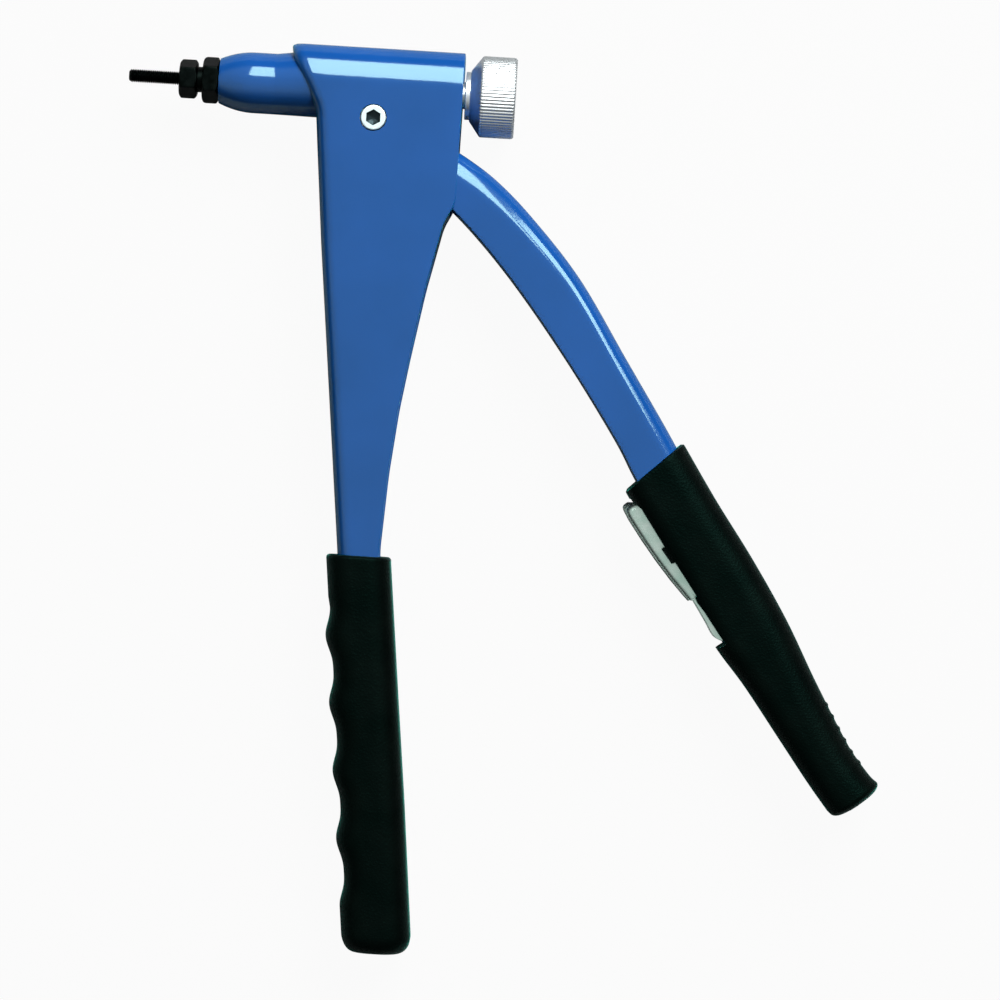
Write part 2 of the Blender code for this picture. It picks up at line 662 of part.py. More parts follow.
def build_draw_spindle():
    """Rod from the coupling to the knob, with a thread at the front, a shoulder that draws
    on the collar and a tapped hole in its rear end."""
    thread_rear = COUPLING_REAR + 0.001
    hole_front = KNOB_RECESS_FRONT - KNOB_SCREW_LENGTH - 0.001
    hole = KNOB_SCREW_RADIUS + SEAT_GAP
    profile = [
        (SPINDLE_FRONT, 0.0), (SPINDLE_FRONT, SPINDLE_THREAD_RADIUS),
        (thread_rear, SPINDLE_THREAD_RADIUS), (thread_rear, SPINDLE_FRONT_RADIUS),
        (SHOULDER_FRONT, SPINDLE_FRONT_RADIUS), (SHOULDER_FRONT, SHOULDER_RADIUS),
        (SHOULDER_REAR, SHOULDER_RADIUS), (SHOULDER_REAR, SPINDLE_REAR_RADIUS),
        (SPINDLE_REAR, SPINDLE_REAR_RADIUS), (SPINDLE_REAR, hole), (hole_front, hole),
        (hole_front, 0.0)]
    return turned_solid("draw_spindle", profile, 32)


def build_coupling():
    """Sleeve nut that traps the mandrel's head against the spindle's front end."""
    inside = max(SPINDLE_THREAD_RADIUS, MANDREL_HEAD_CORNER) + SEAT_GAP
    wall_rear = COUPLING_FRONT + COUPLING_WALL
    profile = [
        (COUPLING_FRONT, COUPLING_RADIUS), (COUPLING_REAR, COUPLING_RADIUS),
        (COUPLING_REAR, inside), (wall_rear, inside), (wall_rear, MANDREL_RADIUS + SEAT_GAP),
        (COUPLING_FRONT, MANDREL_RADIUS + SEAT_GAP)]
    return turned_solid("mandrel_coupling", profile, 32)


def build_mandrel():
    """Threaded rod with a chamfered tip and a hexagon head."""
    corner = MANDREL_HEAD_CORNER
    head_rear = MANDREL_HEAD_FRONT + MANDREL_HEAD_LENGTH
    profile = [
        (MANDREL_TIP, 0.0), (MANDREL_TIP, MANDREL_RADIUS - 0.0005),
        (MANDREL_TIP + 0.0006, MANDREL_RADIUS), (MANDREL_HEAD_FRONT, MANDREL_RADIUS),
        (MANDREL_HEAD_FRONT, corner), (head_rear, corner), (head_rear, 0.0)]
    item = turned_solid("mandrel", profile, 32)
    flats = wrench_flats("mandrel_flats", MANDREL_HEAD_ACROSS_FLATS, MANDREL_HEAD_FRONT - 0.0005,
                         head_rear + 0.0005)
    cut(item, flats)
    return item


def build_knob():
    """Neck, cone and knurled band, bored for the spindle and recessed for its screw."""
    neck_rear = KNOB_NECK_FRONT + KNOB_NECK_LENGTH
    bore = SPINDLE_REAR_RADIUS + SEAT_GAP
    screw_hole = KNOB_SCREW_RADIUS + SEAT_GAP
    recess = KNOB_SCREW_HEAD_RADIUS + 0.0008
    edge = 0.0004
    profile = [
        (KNOB_NECK_FRONT, KNOB_NECK_RADIUS), (neck_rear, KNOB_NECK_RADIUS),
        (neck_rear, KNOB_CONE_FRONT_RADIUS), (KNOB_BAND_FRONT, KNOB_RADIUS + edge),
        (KNOB_REAR - edge, KNOB_RADIUS + edge), (KNOB_REAR, KNOB_RADIUS - edge),
        (KNOB_REAR, recess), (KNOB_RECESS_FRONT, recess), (KNOB_RECESS_FRONT, screw_hole),
        (KNOB_WEB_FRONT, screw_hole), (KNOB_WEB_FRONT, bore), (KNOB_NECK_FRONT, bore)]
    item = turned_solid("knob", profile, 64)
    outline = []
    for i in range(2 * KNOB_GROOVES):
        angle = math.pi * i / KNOB_GROOVES
        radius = KNOB_RADIUS - KNOB_GROOVE_DEPTH * (i % 2)
        outline.append(Vector((radius * math.cos(angle), radius * math.sin(angle))))
    knurl = outline_solid("knob_knurl", [outline], KNOB_NECK_FRONT - 0.002, KNOB_REAR + 0.002)
    knurl.rotation_euler = (0.0, math.pi / 2, 0.0)
    knurl.location = (0.0, SPINDLE_HEIGHT, 0.0)
    cut(item, add_cutter(knurl), "INTERSECT")
    return item


def build_knob_screw():
    """Cap screw in the knob's recess, with a hexagon socket."""
    front = KNOB_RECESS_FRONT + SEAT_GAP
    rear = front + KNOB_SCREW_HEAD_LENGTH
    profile = [
        (front - KNOB_SCREW_LENGTH, 0.0), (front - KNOB_SCREW_LENGTH, KNOB_SCREW_RADIUS),
        (front, KNOB_SCREW_RADIUS), (front, KNOB_SCREW_HEAD_RADIUS),
        (rear - 0.0004, KNOB_SCREW_HEAD_RADIUS), (rear, KNOB_SCREW_HEAD_RADIUS - 0.0004),
        (rear, 0.0)]
    item = turned_solid("knob_screw", profile, 32)
    socket = outline_solid("knob_screw_socket", [hexagon(0.004)], rear - 0.0025, rear + 0.001)
    socket.rotation_euler = (0.0, math.pi / 2, 0.0)
    socket.location = (0.0, SPINDLE_HEIGHT, 0.0)
    cut(item, add_cutter(socket))
    return item


def build_return_spring(material):
    """Wire coil between the spindle's shoulder and the guide bush."""
    radius = SPINDLE_REAR_RADIUS + SPRING_PLAY + SPRING_WIRE_RADIUS
    front = SHOULDER_REAR + SEAT_GAP + SPRING_WIRE_RADIUS
    rear = GUIDE_FLANGE_FRONT - SEAT_GAP - SPRING_WIRE_RADIUS
    curve = bpy.data.curves.new("return_spring", "CURVE")
    curve.dimensions = "3D"
    curve.bevel_depth = SPRING_WIRE_RADIUS
    curve.bevel_resolution = 2
    curve.use_fill_caps = True
    spline = curve.splines.new("POLY")
    count = 12 * SPRING_TURNS
    spline.points.add(count)
    for i, point in enumerate(spline.points):
        turn = 2 * math.pi * SPRING_TURNS * i / count
        station = front + (rear - front) * i / count
        point.co = (station, SPINDLE_HEIGHT + radius * math.cos(turn), radius * math.sin(turn), 1.0)
    return add_piece(bpy.data.objects.new("return_spring", curve), material, ROOT)


# The lever, its grip and the latch

def lever_edges(grow=0.0):
    """The lever's outer and inner edges as smooth paths, both moved outwards by grow."""
    outer = displaced(smooth_points(LEVER_OUTER_EDGE, 4), grow)
    inner = displaced(smooth_points(LEVER_INNER_EDGE, 4), -grow)
    return outer, inner


def build_lever(material, parent):
    """Pressed channel with its web along the outer edge. Its two cheeks go on into the head,
    round the pivot, and up to the fork's rounded pads."""
    outer, inner = lever_edges()
    eye = Vector((0.0, 0.0))
    pad = Vector((0.0, SPINDLE_HEIGHT))
    outline = arc(pad, FORK_PAD_RADIUS, 180, 0, 8)
    outline += [Vector((FORK_PAD_RADIUS * 0.9, SPINDLE_HEIGHT - 0.0035))]
    outline += arc(eye, EYE_RADIUS, 48, 38, 1)
    outline += outer
    outline += list(reversed(inner))
    outline += arc(eye, EYE_RADIUS, 262, 150, 8)
    eye_hole = circle(eye, PIVOT_BUSH_RADIUS + SEAT_GAP, 32)
    pin_hole = circle(on_face(*LATCH_PIN_PLACE), LATCH_PIN_RADIUS + SEAT_GAP, 20)
    item = outline_solid("lever", [outline, eye_hole, pin_hole], -LEVER_HALF_WIDTH,
                         LEVER_HALF_WIDTH)
    round_bead(item, outer)
    web = displaced(outer, -LEVER_WEB)
    reach = [Vector((0.12, -0.24)), Vector((-0.03, -0.03)), Vector((-0.03, 0.03)),
             Vector((0.012, 0.03)), web[0] + Vector((-0.0075, 0.0100))]
    hollow = outline_solid("lever_hollow", [web + [web[-1] + 0.02 * (web[-1] - web[-2]).normalized()]
                                            + reach],
                           LEVER_CHEEK - LEVER_HALF_WIDTH, LEVER_HALF_WIDTH - LEVER_CHEEK)
    cut(item, add_cutter(hollow))
    return add_piece(item, material, parent)


def round_bead(item, path):
    """Round both long edges along a path on the outline with a bevel."""
    mesh = item.data
    weights = mesh.attributes.new("bevel_weight_edge", "FLOAT", "EDGE")
    near = {(round(p.x, 6), round(p.y, 6)) for p in path}
    for edge in mesh.edges:
        ends = [mesh.vertices[i].co for i in edge.vertices]
        flat = abs(ends[0].z - ends[1].z) < 1e-6
        if flat and all((round(p.x, 6), round(p.y, 6)) in near for p in ends):
            weights.data[edge.index].value = 1.0
    bead = item.modifiers.new("bead", "BEVEL")
    bead.limit_method = "WEIGHT"
    bead.width = LEVER_BEAD_RADIUS
    bead.segments = 5
    bead.use_clamp_overlap = False


def across_lever(origin, across):
    """A rule that puts a section's points in place: x across the lever, z out of its side."""
    def place(x, z):
        p = origin + across * x
        return (p.x, p.y, z)

    return place


def grip_ring(origin, across, length, trim):
    """One section of the moving grip, from its inner face to its outer one."""
    return rounded_ring(trim, length - trim, GRIP_HALF_THICKNESS - trim,
                        LEVER_GRIP_INNER_CORNER - trim * 0.4,
                        LEVER_GRIP_OUTER_CORNER - trim * 0.4, across_lever(origin, across))


def evenly(points, count):
    """Points at even distances along a path."""
    path = np.array([tuple(p) for p in points])
    steps = np.hypot(*np.diff(path, axis=0).T)
    along = np.concatenate([[0.0], np.cumsum(steps)])
    places = np.linspace(0.0, along[-1], count)
    return [Vector((float(np.interp(s, along, path[:, 0])), float(np.interp(s, along, path[:, 1]))))
            for s in places]


def grip_bore():
    """The room of the lever inside its grip, with the lever's own rounded outer corners."""
    wide_outer, wide_inner = lever_edges(SEAT_GAP)
    start = next(i for i, p in enumerate(wide_outer) if p.x > LEVER_GRIP_OUTER[0][0] - 0.012)
    begin = next(i for i, p in enumerate(wide_inner) if p.x > LEVER_GRIP_INNER[0][0] - 0.008)
    end_way = FACE_ALONG * SEAT_GAP
    outer_side = evenly(wide_outer[start:-1] + [wide_outer[-1] + end_way], 16)
    inner_side = evenly(wide_inner[begin:-1] + [wide_inner[-1] + end_way], 16)
    rings = []
    for a, b in zip(inner_side, outer_side):
        place = across_lever(a, (b - a).normalized())
        rings.append(rounded_ring(0.0, (b - a).length, LEVER_HALF_WIDTH + SEAT_GAP, 0.0,
                                  LEVER_BEAD_RADIUS, place))
    return loft_solid("lever_grip_hole", rings)


def build_lever_grip(material, parent):
    """Thick sleeve over the lever's end, recessed along its inner face for the latch."""
    outer = smooth_points(LEVER_GRIP_OUTER, 4)
    inner = smooth_points(LEVER_GRIP_INNER, 4)
    rings = []
    for i, (a, b) in enumerate(zip(inner, outer)):
        across = (b - a).normalized()
        length = (b - a).length
        lip = GRIP_LIP_RADIUS * 0.5 if i == 0 else 0.0
        rings.append(grip_ring(a, across, length, lip))
    last = len(inner) - 1
    onward = Vector((-across.y, across.x)) * -1
    for a in np.radians(np.linspace(22.5, 90, 4)):
        trim = LEVER_GRIP_DOME * 1.7 * (1 - math.cos(a))
        origin = inner[last] + onward * LEVER_GRIP_DOME * math.sin(a)
        rings.append(grip_ring(origin, across, length, trim))
    item = loft_solid("lever_grip", rings)
    cut(item, add_cutter(grip_bore()))
    recess = [on_face(RECESS_START, RECESS_DEPTH_START), on_face(RECESS_START, -0.02),
              on_face(RECESS_END, -0.02), on_face(RECESS_END, RECESS_DEPTH_END)]
    cut(item, add_cutter(outline_solid("latch_recess", [recess], -0.02, 0.02)))
    window_start = RECESS_START + 0.0006
    window_end = RECESS_END - 0.0005
    window = [on_face(window_start, 0.008), on_face(window_start, -0.001),
              on_face(window_end, -0.001), on_face(window_end, 0.008)]
    half = LATCH_HALF_WIDTH + WINDOW_CLEARANCE
    cut(item, add_cutter(outline_solid("latch_window", [window], -half, half)))
    return add_piece(item, material, parent)


def build_latch(material, parent):
    """Pressed channel with a rounded head, stepped sides and two ears on the pin."""
    pin_along, pin_into = LATCH_PIN_PLACE
    web_line = [(0.0046, -0.0041), (0.0100, -0.0044), (0.0190, -0.0040), (0.0280, -0.0033),
                (0.0370, -0.0022), (0.0468, -0.0004)]
    head = [(0.0060, 0.0004), (0.0041, -0.0008), (0.0032, -0.0024), (0.0036, -0.0037)]
    ear_end = [(pin_along + LATCH_EAR_RADIUS * math.cos(a), pin_into + LATCH_EAR_RADIUS * math.sin(a))
               for a in np.radians(np.linspace(-75, 110, 9))]
    inner_line = [(0.0480, 0.0058), (0.0465, 0.0034), (0.0325, 0.0026), (0.0316, 0.0010),
                  (0.0264, 0.0007), (0.0256, 0.0018), (0.0090, 0.0019)]
    ears = [(0.0475, 0.0012), (pin_along - 0.0050, 0.0024)]
    outline = head + web_line + ears + ear_end + inner_line
    pin_hole = circle(on_face(*LATCH_PIN_PLACE), LATCH_PIN_RADIUS + RUN_GAP, 20)
    item = outline_solid("latch", [[on_face(*p) for p in outline], pin_hole], -LATCH_HALF_WIDTH,
                         LATCH_HALF_WIDTH)
    inside = [(0.0045, -0.0022), (0.0052, -0.0027)]
    inside += [(a, h + LATCH_SHEET) for a, h in web_line[1:]]
    inside += [(0.0480, web_line[-1][1] + LATCH_SHEET), (0.0480, -0.002), (0.072, -0.002),
               (0.072, 0.012), (0.0060, 0.012), (0.0060, 0.0005), (0.0052, -0.0006)]
    half = LATCH_HALF_WIDTH - LATCH_SHEET
    cut(item, add_cutter(outline_solid("latch_inside", [[on_face(*p) for p in inside]], -half, half)))
    return add_piece(item, material, parent)


# The whole tool

def build():
    blue = finish("blue_enamel", BLUE, 0.28, 0.0)
    oxide = finish("black_oxide_steel", BLACK_OXIDE, 0.38, 0.6)
    rubber = finish("black_grip", BLACK_GRIP, 0.62, 0.0)
    steel = finish("bright_steel", BRIGHT_STEEL, 0.22, 1.0)
    zinc = finish("zinc_plate", ZINC, 0.30, 1.0)
    bronze = finish("bronze", BRONZE, 0.35, 1.0)
    nylon = finish("nylon", NYLON, 0.45, 0.0)

    spindle_axis = (0.0, SPINDLE_HEIGHT, 0.0)
    lever_pivot = joint_frame("lever_pivot", (0.0, 0.0, 0.0))
    draw_frame = joint_frame("draw_frame", spindle_axis)
    spin_frame = joint_frame("spin_frame", spindle_axis)
    pin_place = on_face(*LATCH_PIN_PLACE)
    latch_pivot = joint_frame("latch_pivot", (pin_place.x, pin_place.y, 0.0))

    build_housing(blue)
    build_nose_housing(blue)
    build_anvil(oxide)
    build_lock_nut(oxide)
    build_guide_block(blue)
    build_guide_bush(bronze)
    build_pivot_screw(steel)
    nut = cross_ring("pivot_nut", PIVOT_HEAD_RADIUS, PIVOT_SCREW_RADIUS + SEAT_GAP,
                     -PIVOT_HEAD_HIGH, -PIVOT_HEAD_LOW)
    add_piece(nut, steel, ROOT)
    bush = cross_ring("pivot_bush", PIVOT_BUSH_RADIUS, PIVOT_SCREW_RADIUS + SEAT_GAP,
                      -PIVOT_BUSH_END, PIVOT_BUSH_END)
    add_piece(bush, steel, ROOT)
    washer_low = LEVER_HALF_WIDTH + SEAT_GAP
    washer_high = HEAD_INSIDE - SEAT_GAP
    for name, low, high in (("pivot_washer_near", washer_low, washer_high),
                            ("pivot_washer_far", -washer_high, -washer_low)):
        washer = cross_ring(name, PIVOT_WASHER_RADIUS, PIVOT_BUSH_RADIUS + SEAT_GAP, low, high)
        add_piece(washer, nylon, ROOT)
    build_fixed_grip(rubber)
    build_return_spring(steel)

    add_piece(build_thrust_collar(), steel, draw_frame)
    add_piece(build_thrust_washer(), bronze, draw_frame)
    add_piece(build_draw_spindle(), steel, spin_frame)
    add_piece(build_coupling(), oxide, spin_frame)
    add_piece(build_mandrel(), oxide, spin_frame)
    add_piece(build_knob(), steel, spin_frame)
    add_piece(build_knob_screw(), oxide, spin_frame)

    build_lever(blue, lever_pivot)
    build_lever_grip(rubber, lever_pivot)
    pin = cross_cylinder("latch_pin", LATCH_PIN_RADIUS, -LEVER_HALF_WIDTH, LEVER_HALF_WIDTH,
                         on_face(*LATCH_PIN_PLACE), 20)
    add_piece(pin, steel, lever_pivot)
    build_latch(zinc, latch_pivot)


def stand_on_origin():
    """Slide the tool so that its box stands on the origin, centred over it."""
    bpy.context.view_layer.update()
    graph = bpy.context.evaluated_depsgraph_get()
    corners = []
    for item in TOOL.objects:
        if item.type == "EMPTY":
            continue
        shape = item.evaluated_get(graph)
        mesh = shape.to_mesh()
        corners += [item.matrix_world @ v.co for v in mesh.vertices]
        shape.to_mesh_clear()
    points = np.array([tuple(c) for c in corners])
    low = points.min(axis=0)
    high = points.max(axis=0)
    ROOT.location = (-(low[0] + high[0]) / 2, -(low[1] + high[1]) / 2, -low[2])
    bpy.context.view_layer.update()
    print("box", [round(float(v), 5) for v in high - low])
    print("pivot axis at", [round(v, 6) for v in ROOT.location])


build()
stand_on_origin()
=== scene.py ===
"""Looks of the rivet nut hand tool: blue enamelled channel head and handle, squeezed lever,
black moulded grips, black oxide nose pieces, bright turned knob and a zinc plated latch.

Sizes are in metres. Points are worked out from the lever's pivot axis in the middle plane, with
X back along the spindle, Y up the tool and Z out of the near cheek, and moved to the part's frame
when they become a mesh.
"""

import json
import math

import bmesh
import bpy
import numpy as np
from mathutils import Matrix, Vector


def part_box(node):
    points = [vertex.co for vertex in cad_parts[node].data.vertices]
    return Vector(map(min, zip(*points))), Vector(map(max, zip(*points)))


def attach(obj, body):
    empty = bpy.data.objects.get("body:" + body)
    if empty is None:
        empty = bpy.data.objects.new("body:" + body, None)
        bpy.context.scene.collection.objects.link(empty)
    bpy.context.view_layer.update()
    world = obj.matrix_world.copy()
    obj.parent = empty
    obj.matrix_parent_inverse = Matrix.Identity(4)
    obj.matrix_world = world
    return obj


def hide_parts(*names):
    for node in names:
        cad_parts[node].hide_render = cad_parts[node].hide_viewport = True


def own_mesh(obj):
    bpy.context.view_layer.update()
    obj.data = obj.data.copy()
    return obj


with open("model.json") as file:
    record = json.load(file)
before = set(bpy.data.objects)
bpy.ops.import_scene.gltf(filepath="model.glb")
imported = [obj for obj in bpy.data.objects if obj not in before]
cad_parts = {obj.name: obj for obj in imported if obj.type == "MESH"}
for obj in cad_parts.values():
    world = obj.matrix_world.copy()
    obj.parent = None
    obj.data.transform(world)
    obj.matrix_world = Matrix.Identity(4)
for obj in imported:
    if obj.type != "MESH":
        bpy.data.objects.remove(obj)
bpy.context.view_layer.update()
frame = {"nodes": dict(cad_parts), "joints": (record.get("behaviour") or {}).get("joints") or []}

JOINTS = {joint["name"]: joint for joint in frame["joints"]}
PIVOT = np.array(JOINTS["lever_squeeze"]["pos_m"])
SPINDLE_Y = JOINTS["knob_spin"]["pos_m"][1] - PIVOT[1]
FIT = 0.0003
MERGE = 2e-6
DEGENERATE = 1e-7
CREASE = math.radians(32.0)

# Head and fixed handle
HEAD_TOP = 0.0266
HEAD_REAR = 0.0324
HEAD_HALF = 0.0145
HANDLE_HALF = 0.0112
SHEET = 0.0022
SHOULDER_RADIUS = 0.0187
CROWN_RADIUS = 0.0105
CROWN_BLEND_DEG = (24.0, 36.0)
CORNER_ROUND = 0.0016
FRONT_BEND = 0.0050
FRONT_BLUR = 0.0025
REAR_BLUR = 0.0035
REAR_RIM = 0.0007
TAPER_TOP = -0.040
TAPER_BOTTOM = -0.160
HANDLE_BOTTOM = -0.296
PIVOT_HOLE_RADIUS = 0.00495
FRONT_EDGE = np.array([
    (-0.0320, HEAD_TOP), (-0.0306, 0.0200), (-0.0214, 0.0024), (-0.0202, -0.0100),
    (-0.0165, -0.0470), (-0.0038, -0.1593), (0.0102, -0.2960)])
REAR_EDGE = np.array([
    (HEAD_REAR, HEAD_TOP), (HEAD_REAR - 0.0005, -0.0305), (0.0283, -0.0360), (0.0228, -0.0614),
    (0.0184, -0.0876), (0.0156, -0.1063), (0.0132, -0.1300), (0.0116, -0.1593), (0.0265, -0.2960)])

# Lever
LEVER_HALF = 0.0100
LEVER_CHEEK = 0.0030
LEVER_WEB = 0.0026
LEVER_RIM = 0.0006
LEVER_BEAD = 0.0065
LEVER_BEAD_AT_HEAD = 0.0100
LEVER_BEAD_SHARE = 0.36
LEVER_ROWS = 150
FORK_PAD_RADIUS = 0.0045
FORK_EASE = 0.0004
FORK_SIDE_DROP = 0.0035
EYE_BORE = 0.0048
EYE_RADIUS = 0.0070
LEVER_OUTER = np.array([
    (0.0235, -0.0060), (0.0318, -0.0100), (0.0460, -0.0192), (0.0609, -0.0329),
    (0.0796, -0.0542), (0.0984, -0.0826), (0.1171, -0.1111), (0.1311, -0.1345),
    (0.1462, -0.1559), (0.1590, -0.1768), (0.1745, -0.2050)])
LEVER_INNER = np.array([
    (0.0165, -0.0205), (0.0342, -0.0347), (0.0540, -0.0557), (0.0762, -0.0840),
    (0.0961, -0.1125), (0.1055, -0.1283), (0.1253, -0.1585), (0.1407, -0.1845), (0.1600, -0.2135)])

# Grips
GRIP_HALF = 0.0150
BORE_CORNER = 0.0004
FIXED_GRIP_TOP = -0.1609
FIXED_GRIP_BOTTOM = -0.3069
FIXED_GRIP_LIP = 0.0014
FIXED_GRIP_END = 0.0070
FIXED_GRIP_END_TRIM = 0.0063
FIXED_GRIP_CORNER = 0.0090
FIXED_GRIP_BLUR = 0.0030
FIXED_GRIP_REAR = np.array([
    (0.0158, FIXED_GRIP_TOP), (0.0219, -0.2134), (0.0263, -0.2502), (0.0324, FIXED_GRIP_BOTTOM)])
CREST_TOP = (-0.0062, -0.1910)
CREST_BOTTOM = (0.0055, -0.2941)
FINGER_PITCH = 0.0248
FINGER_DEPTH = 0.0022
COLLAR_DEPTH_SHARE = 0.8
COLLAR_BLEND = 0.004
GRIP_OUTER = np.array([
    (0.1211, -0.1120), (0.1345, -0.1323), (0.1496, -0.1537), (0.1633, -0.1751),
    (0.1751, -0.1966), (0.1874, -0.2176), (0.1932, -0.2256), (0.1996, -0.2330)])
GRIP_INNER = np.array([
    (0.1010, -0.1309), (0.1134, -0.1494), (0.1255, -0.1679), (0.1377, -0.1863),
    (0.1499, -0.2010), (0.1644, -0.2204), (0.1753, -0.2350), (0.1832, -0.2449)])
GRIP_MOUTH_LENGTH = 0.0012
GRIP_MOUTH_TRIM = 0.0010
GRIP_WALL = 0.0040
GRIP_DOME = 0.0030
GRIP_INNER_CORNER = 0.0075
GRIP_OUTER_CORNER = 0.0105
GRIP_FLARE = 0.0006
GRIP_FLARE_LENGTH = 0.0040
OUTER_BAND = 0.0085
RIB_PITCH = 0.0049
RIB_HEIGHT = 0.00045
RIB_FIRST = 0.0085
RIB_LAST = 0.0370

# Latch, by distances along the moving grip's face and into the grip
LATCH_HALF = 0.0065
LATCH_SHEET = 0.0013
LATCH_BEND = 0.0030
LATCH_FLARE = 0.06
LATCH_SPOON = 0.0040
LATCH_END = 0.0468
LATCH_HEAD = 0.0024
LATCH_PIN = (0.0635, 0.0065)
LATCH_PIN_HOLE = 0.0017
LATCH_BACK = np.array([
    (0.0041, -0.0021), (0.0043, -0.0032), (0.0048, -0.0039), (0.0060, -0.0042), (0.0100, -0.0044),
    (0.0190, -0.0040), (0.0280, -0.0033), (0.0370, -0.0022), (0.0440, -0.0010), (LATCH_END, -0.0004)])
LATCH_CHEEK_EDGE = np.array([
    (0.0041, -0.0020), (0.0044, -0.0009), (0.0050, 0.0001), (0.0062, 0.0010), (0.0090, 0.0018),
    (0.0252, 0.0023), (0.0255, 0.0009), (0.0316, 0.0013), (0.0319, 0.0027), (LATCH_END, 0.0034)])
EAR_START = 0.0469
EAR_ROUND_START = 0.0620
EAR_ROUND_LENGTH = 0.0046
EAR_CORNER = 0.00025
EAR_SPRUNG_FROM = 0.0013
EAR_SPRUNG_DEPTH = 0.0030
EAR_OUTER = np.array([
    (EAR_START, 0.0002), (0.0474, 0.0013), (0.0574, 0.0013), (0.0609, 0.0011), (0.0650, 0.0013)])
EAR_INNER = np.array([(EAR_START, 0.0034), (0.0485, 0.0060), (0.0600, 0.0094)])
EAR_MIDDLE = 0.0055
RECESS_FLOOR = np.array([
    (0.0036, -0.0200), (0.0036, 0.0004), (0.0062, 0.0007), (0.0088, 0.0015), (0.0250, 0.0019),
    (0.0252, 0.0005), (0.0317, 0.0010), (0.0320, 0.0024), (0.0462, 0.0030), (0.0472, 0.0022),
    (0.0489, 0.0020), (0.0532, 0.0026), (0.0635, 0.0031), (0.0673, 0.0034), (0.0673, -0.0200)])
RECESS_HALF = 0.02
WINDOW = np.array([(0.0042, 0.0080), (0.0042, -0.0010), (0.0668, -0.0010), (0.0668, 0.0080)])
WINDOW_HALF = 0.0073

# Spindle train
NOSE_FRONT = -0.0580
NOSE_REAR = -0.0120
NOSE_STOP = -0.0503
NOSE_RADIUS = 0.0112
NOSE_HOLE_GAP = 0.0002
NOSE_TIP_RADIUS = 0.0084
NOSE_BORE = 0.0073
NOSE_THREAD = 0.0050
NOSE_TAPER = 0.0130
NOSE_FILLET = (-0.0372, -0.0245)
NOSE_SWELL = 0.0018
ANVIL_HEXAGON = 0.0126
LOCK_NUT_HEXAGON = 0.0150
MANDREL_TIP = -0.0915
MANDREL_RADIUS = 0.0025
MANDREL_TIP_RADIUS = 0.0017
MANDREL_HEAD_FRONT = -0.0475
MANDREL_HEXAGON = 0.0080
THREAD_END = -0.0705
THREAD_PITCH = 0.0008
THREAD_DEPTH = 0.00045
KNOB_RADIUS = 0.0150
KNOB_GROOVES = 75
KNOB_GROOVE_DEPTH = 0.00020
KNOB_SOCKET = 0.0040
PIVOT_SOCKET = 0.0052
SPRING_RADIUS = 0.0067
SPRING_WIRE = 0.0006
SPRING_TURNS = 5.0


# Meshes

def tidy(mesh):
    """Merge the points that meet, and turn every face outwards."""
    work = bmesh.new()
    work.from_mesh(mesh)
    bmesh.ops.remove_doubles(work, verts=work.verts, dist=MERGE)
    bmesh.ops.dissolve_degenerate(work, edges=work.edges, dist=DEGENERATE)
    bmesh.ops.recalc_face_normals(work, faces=work.faces)
    work.to_mesh(mesh)
    work.free()


def linked(name, data):
    """A new object in the scene."""
    item = bpy.data.objects.new(name, data)
    bpy.context.scene.collection.objects.link(item)
    return item


def shell(name, grid):
    """An object from a closed grid of points, of rows by columns by three. Quads run between
    neighbouring rows, and the last column meets the first."""
    rows, columns = grid.shape[:2]
    corner = np.arange(rows * columns, dtype=np.int32).reshape(rows, columns)
    beside = np.roll(corner, -1, axis=1)
    faces = np.stack([corner[:-1], beside[:-1], beside[1:], corner[1:]], axis=-1)
    mesh = bpy.data.meshes.new(name)
    mesh.vertices.add(corner.size)
    mesh.vertices.foreach_set("co", (grid + PIVOT).astype(np.float32).ravel())
    mesh.loops.add(faces.size)
    mesh.loops.foreach_set("vertex_index", faces.ravel())
    mesh.polygons.add(faces.size // 4)
    mesh.polygons.foreach_set("loop_start", np.arange(0, faces.size, 4, dtype=np.int32))
    mesh.update(calc_edges=True)
    tidy(mesh)
    return linked(name, mesh)


def join(name, items):
    """Several objects as one, each keeping its own closed surface."""
    work = bmesh.new()
    for item in items:
        work.from_mesh(item.data)
        bpy.data.objects.remove(item)
    mesh = bpy.data.meshes.new(name)
    work.to_mesh(mesh)
    work.free()
    return linked(name, mesh)


def carve(item, *cutters):
    """Take closed cutters out of an object, and keep the result as its mesh."""
    for cutter in cutters:
        step = item.modifiers.new("carve", "BOOLEAN")
        step.operation = "DIFFERENCE"
        step.solver = "EXACT"
        step.object = cutter
    bpy.context.view_layer.update()
    graph = bpy.context.evaluated_depsgraph_get()
    mesh = bpy.data.meshes.new_from_object(item.evaluated_get(graph))
    item.modifiers.clear()
    item.data = mesh
    for cutter in cutters:
        bpy.data.objects.remove(cutter)
    return item


def finished(item, material, body, node):
    """Shade smooth but for creases, paint, and hang a piece on its body in place of a CAD node."""
    mesh = item.data
    mesh.polygons.foreach_set("use_smooth", np.ones(len(mesh.polygons), dtype=bool))
    mesh.set_sharp_from_angle(angle=CREASE)
    mesh.materials.clear()
    mesh.materials.append(material)
    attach(item, body)
    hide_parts(node)
    return item


# Profiles and paths

def eased(share):
    """A smooth step: three times the square less twice the cube."""
    return share ** 2 * (3 - 2 * share)


def smooth_path(points, count):
    """Catmull-Rom curve through points, taken again at even distances along it."""
    p = np.vstack([2 * points[0] - points[1], points, 2 * points[-1] - points[-2]])
    t = np.linspace(0.0, 1.0, 24, endpoint=False)[None, :, None]
    a, b, c, d = (p[i:len(p) - 3 + i][:, None, :] for i in range(4))
    curve = 0.5 * (2 * b + (c - a) * t + (2 * a - 5 * b + 4 * c - d) * t ** 2
                   + (3 * b - a - 3 * c + d) * t ** 3)
    curve = np.vstack([curve.reshape(-1, points.shape[1]), points[-1]])
    return even_path(curve, count)


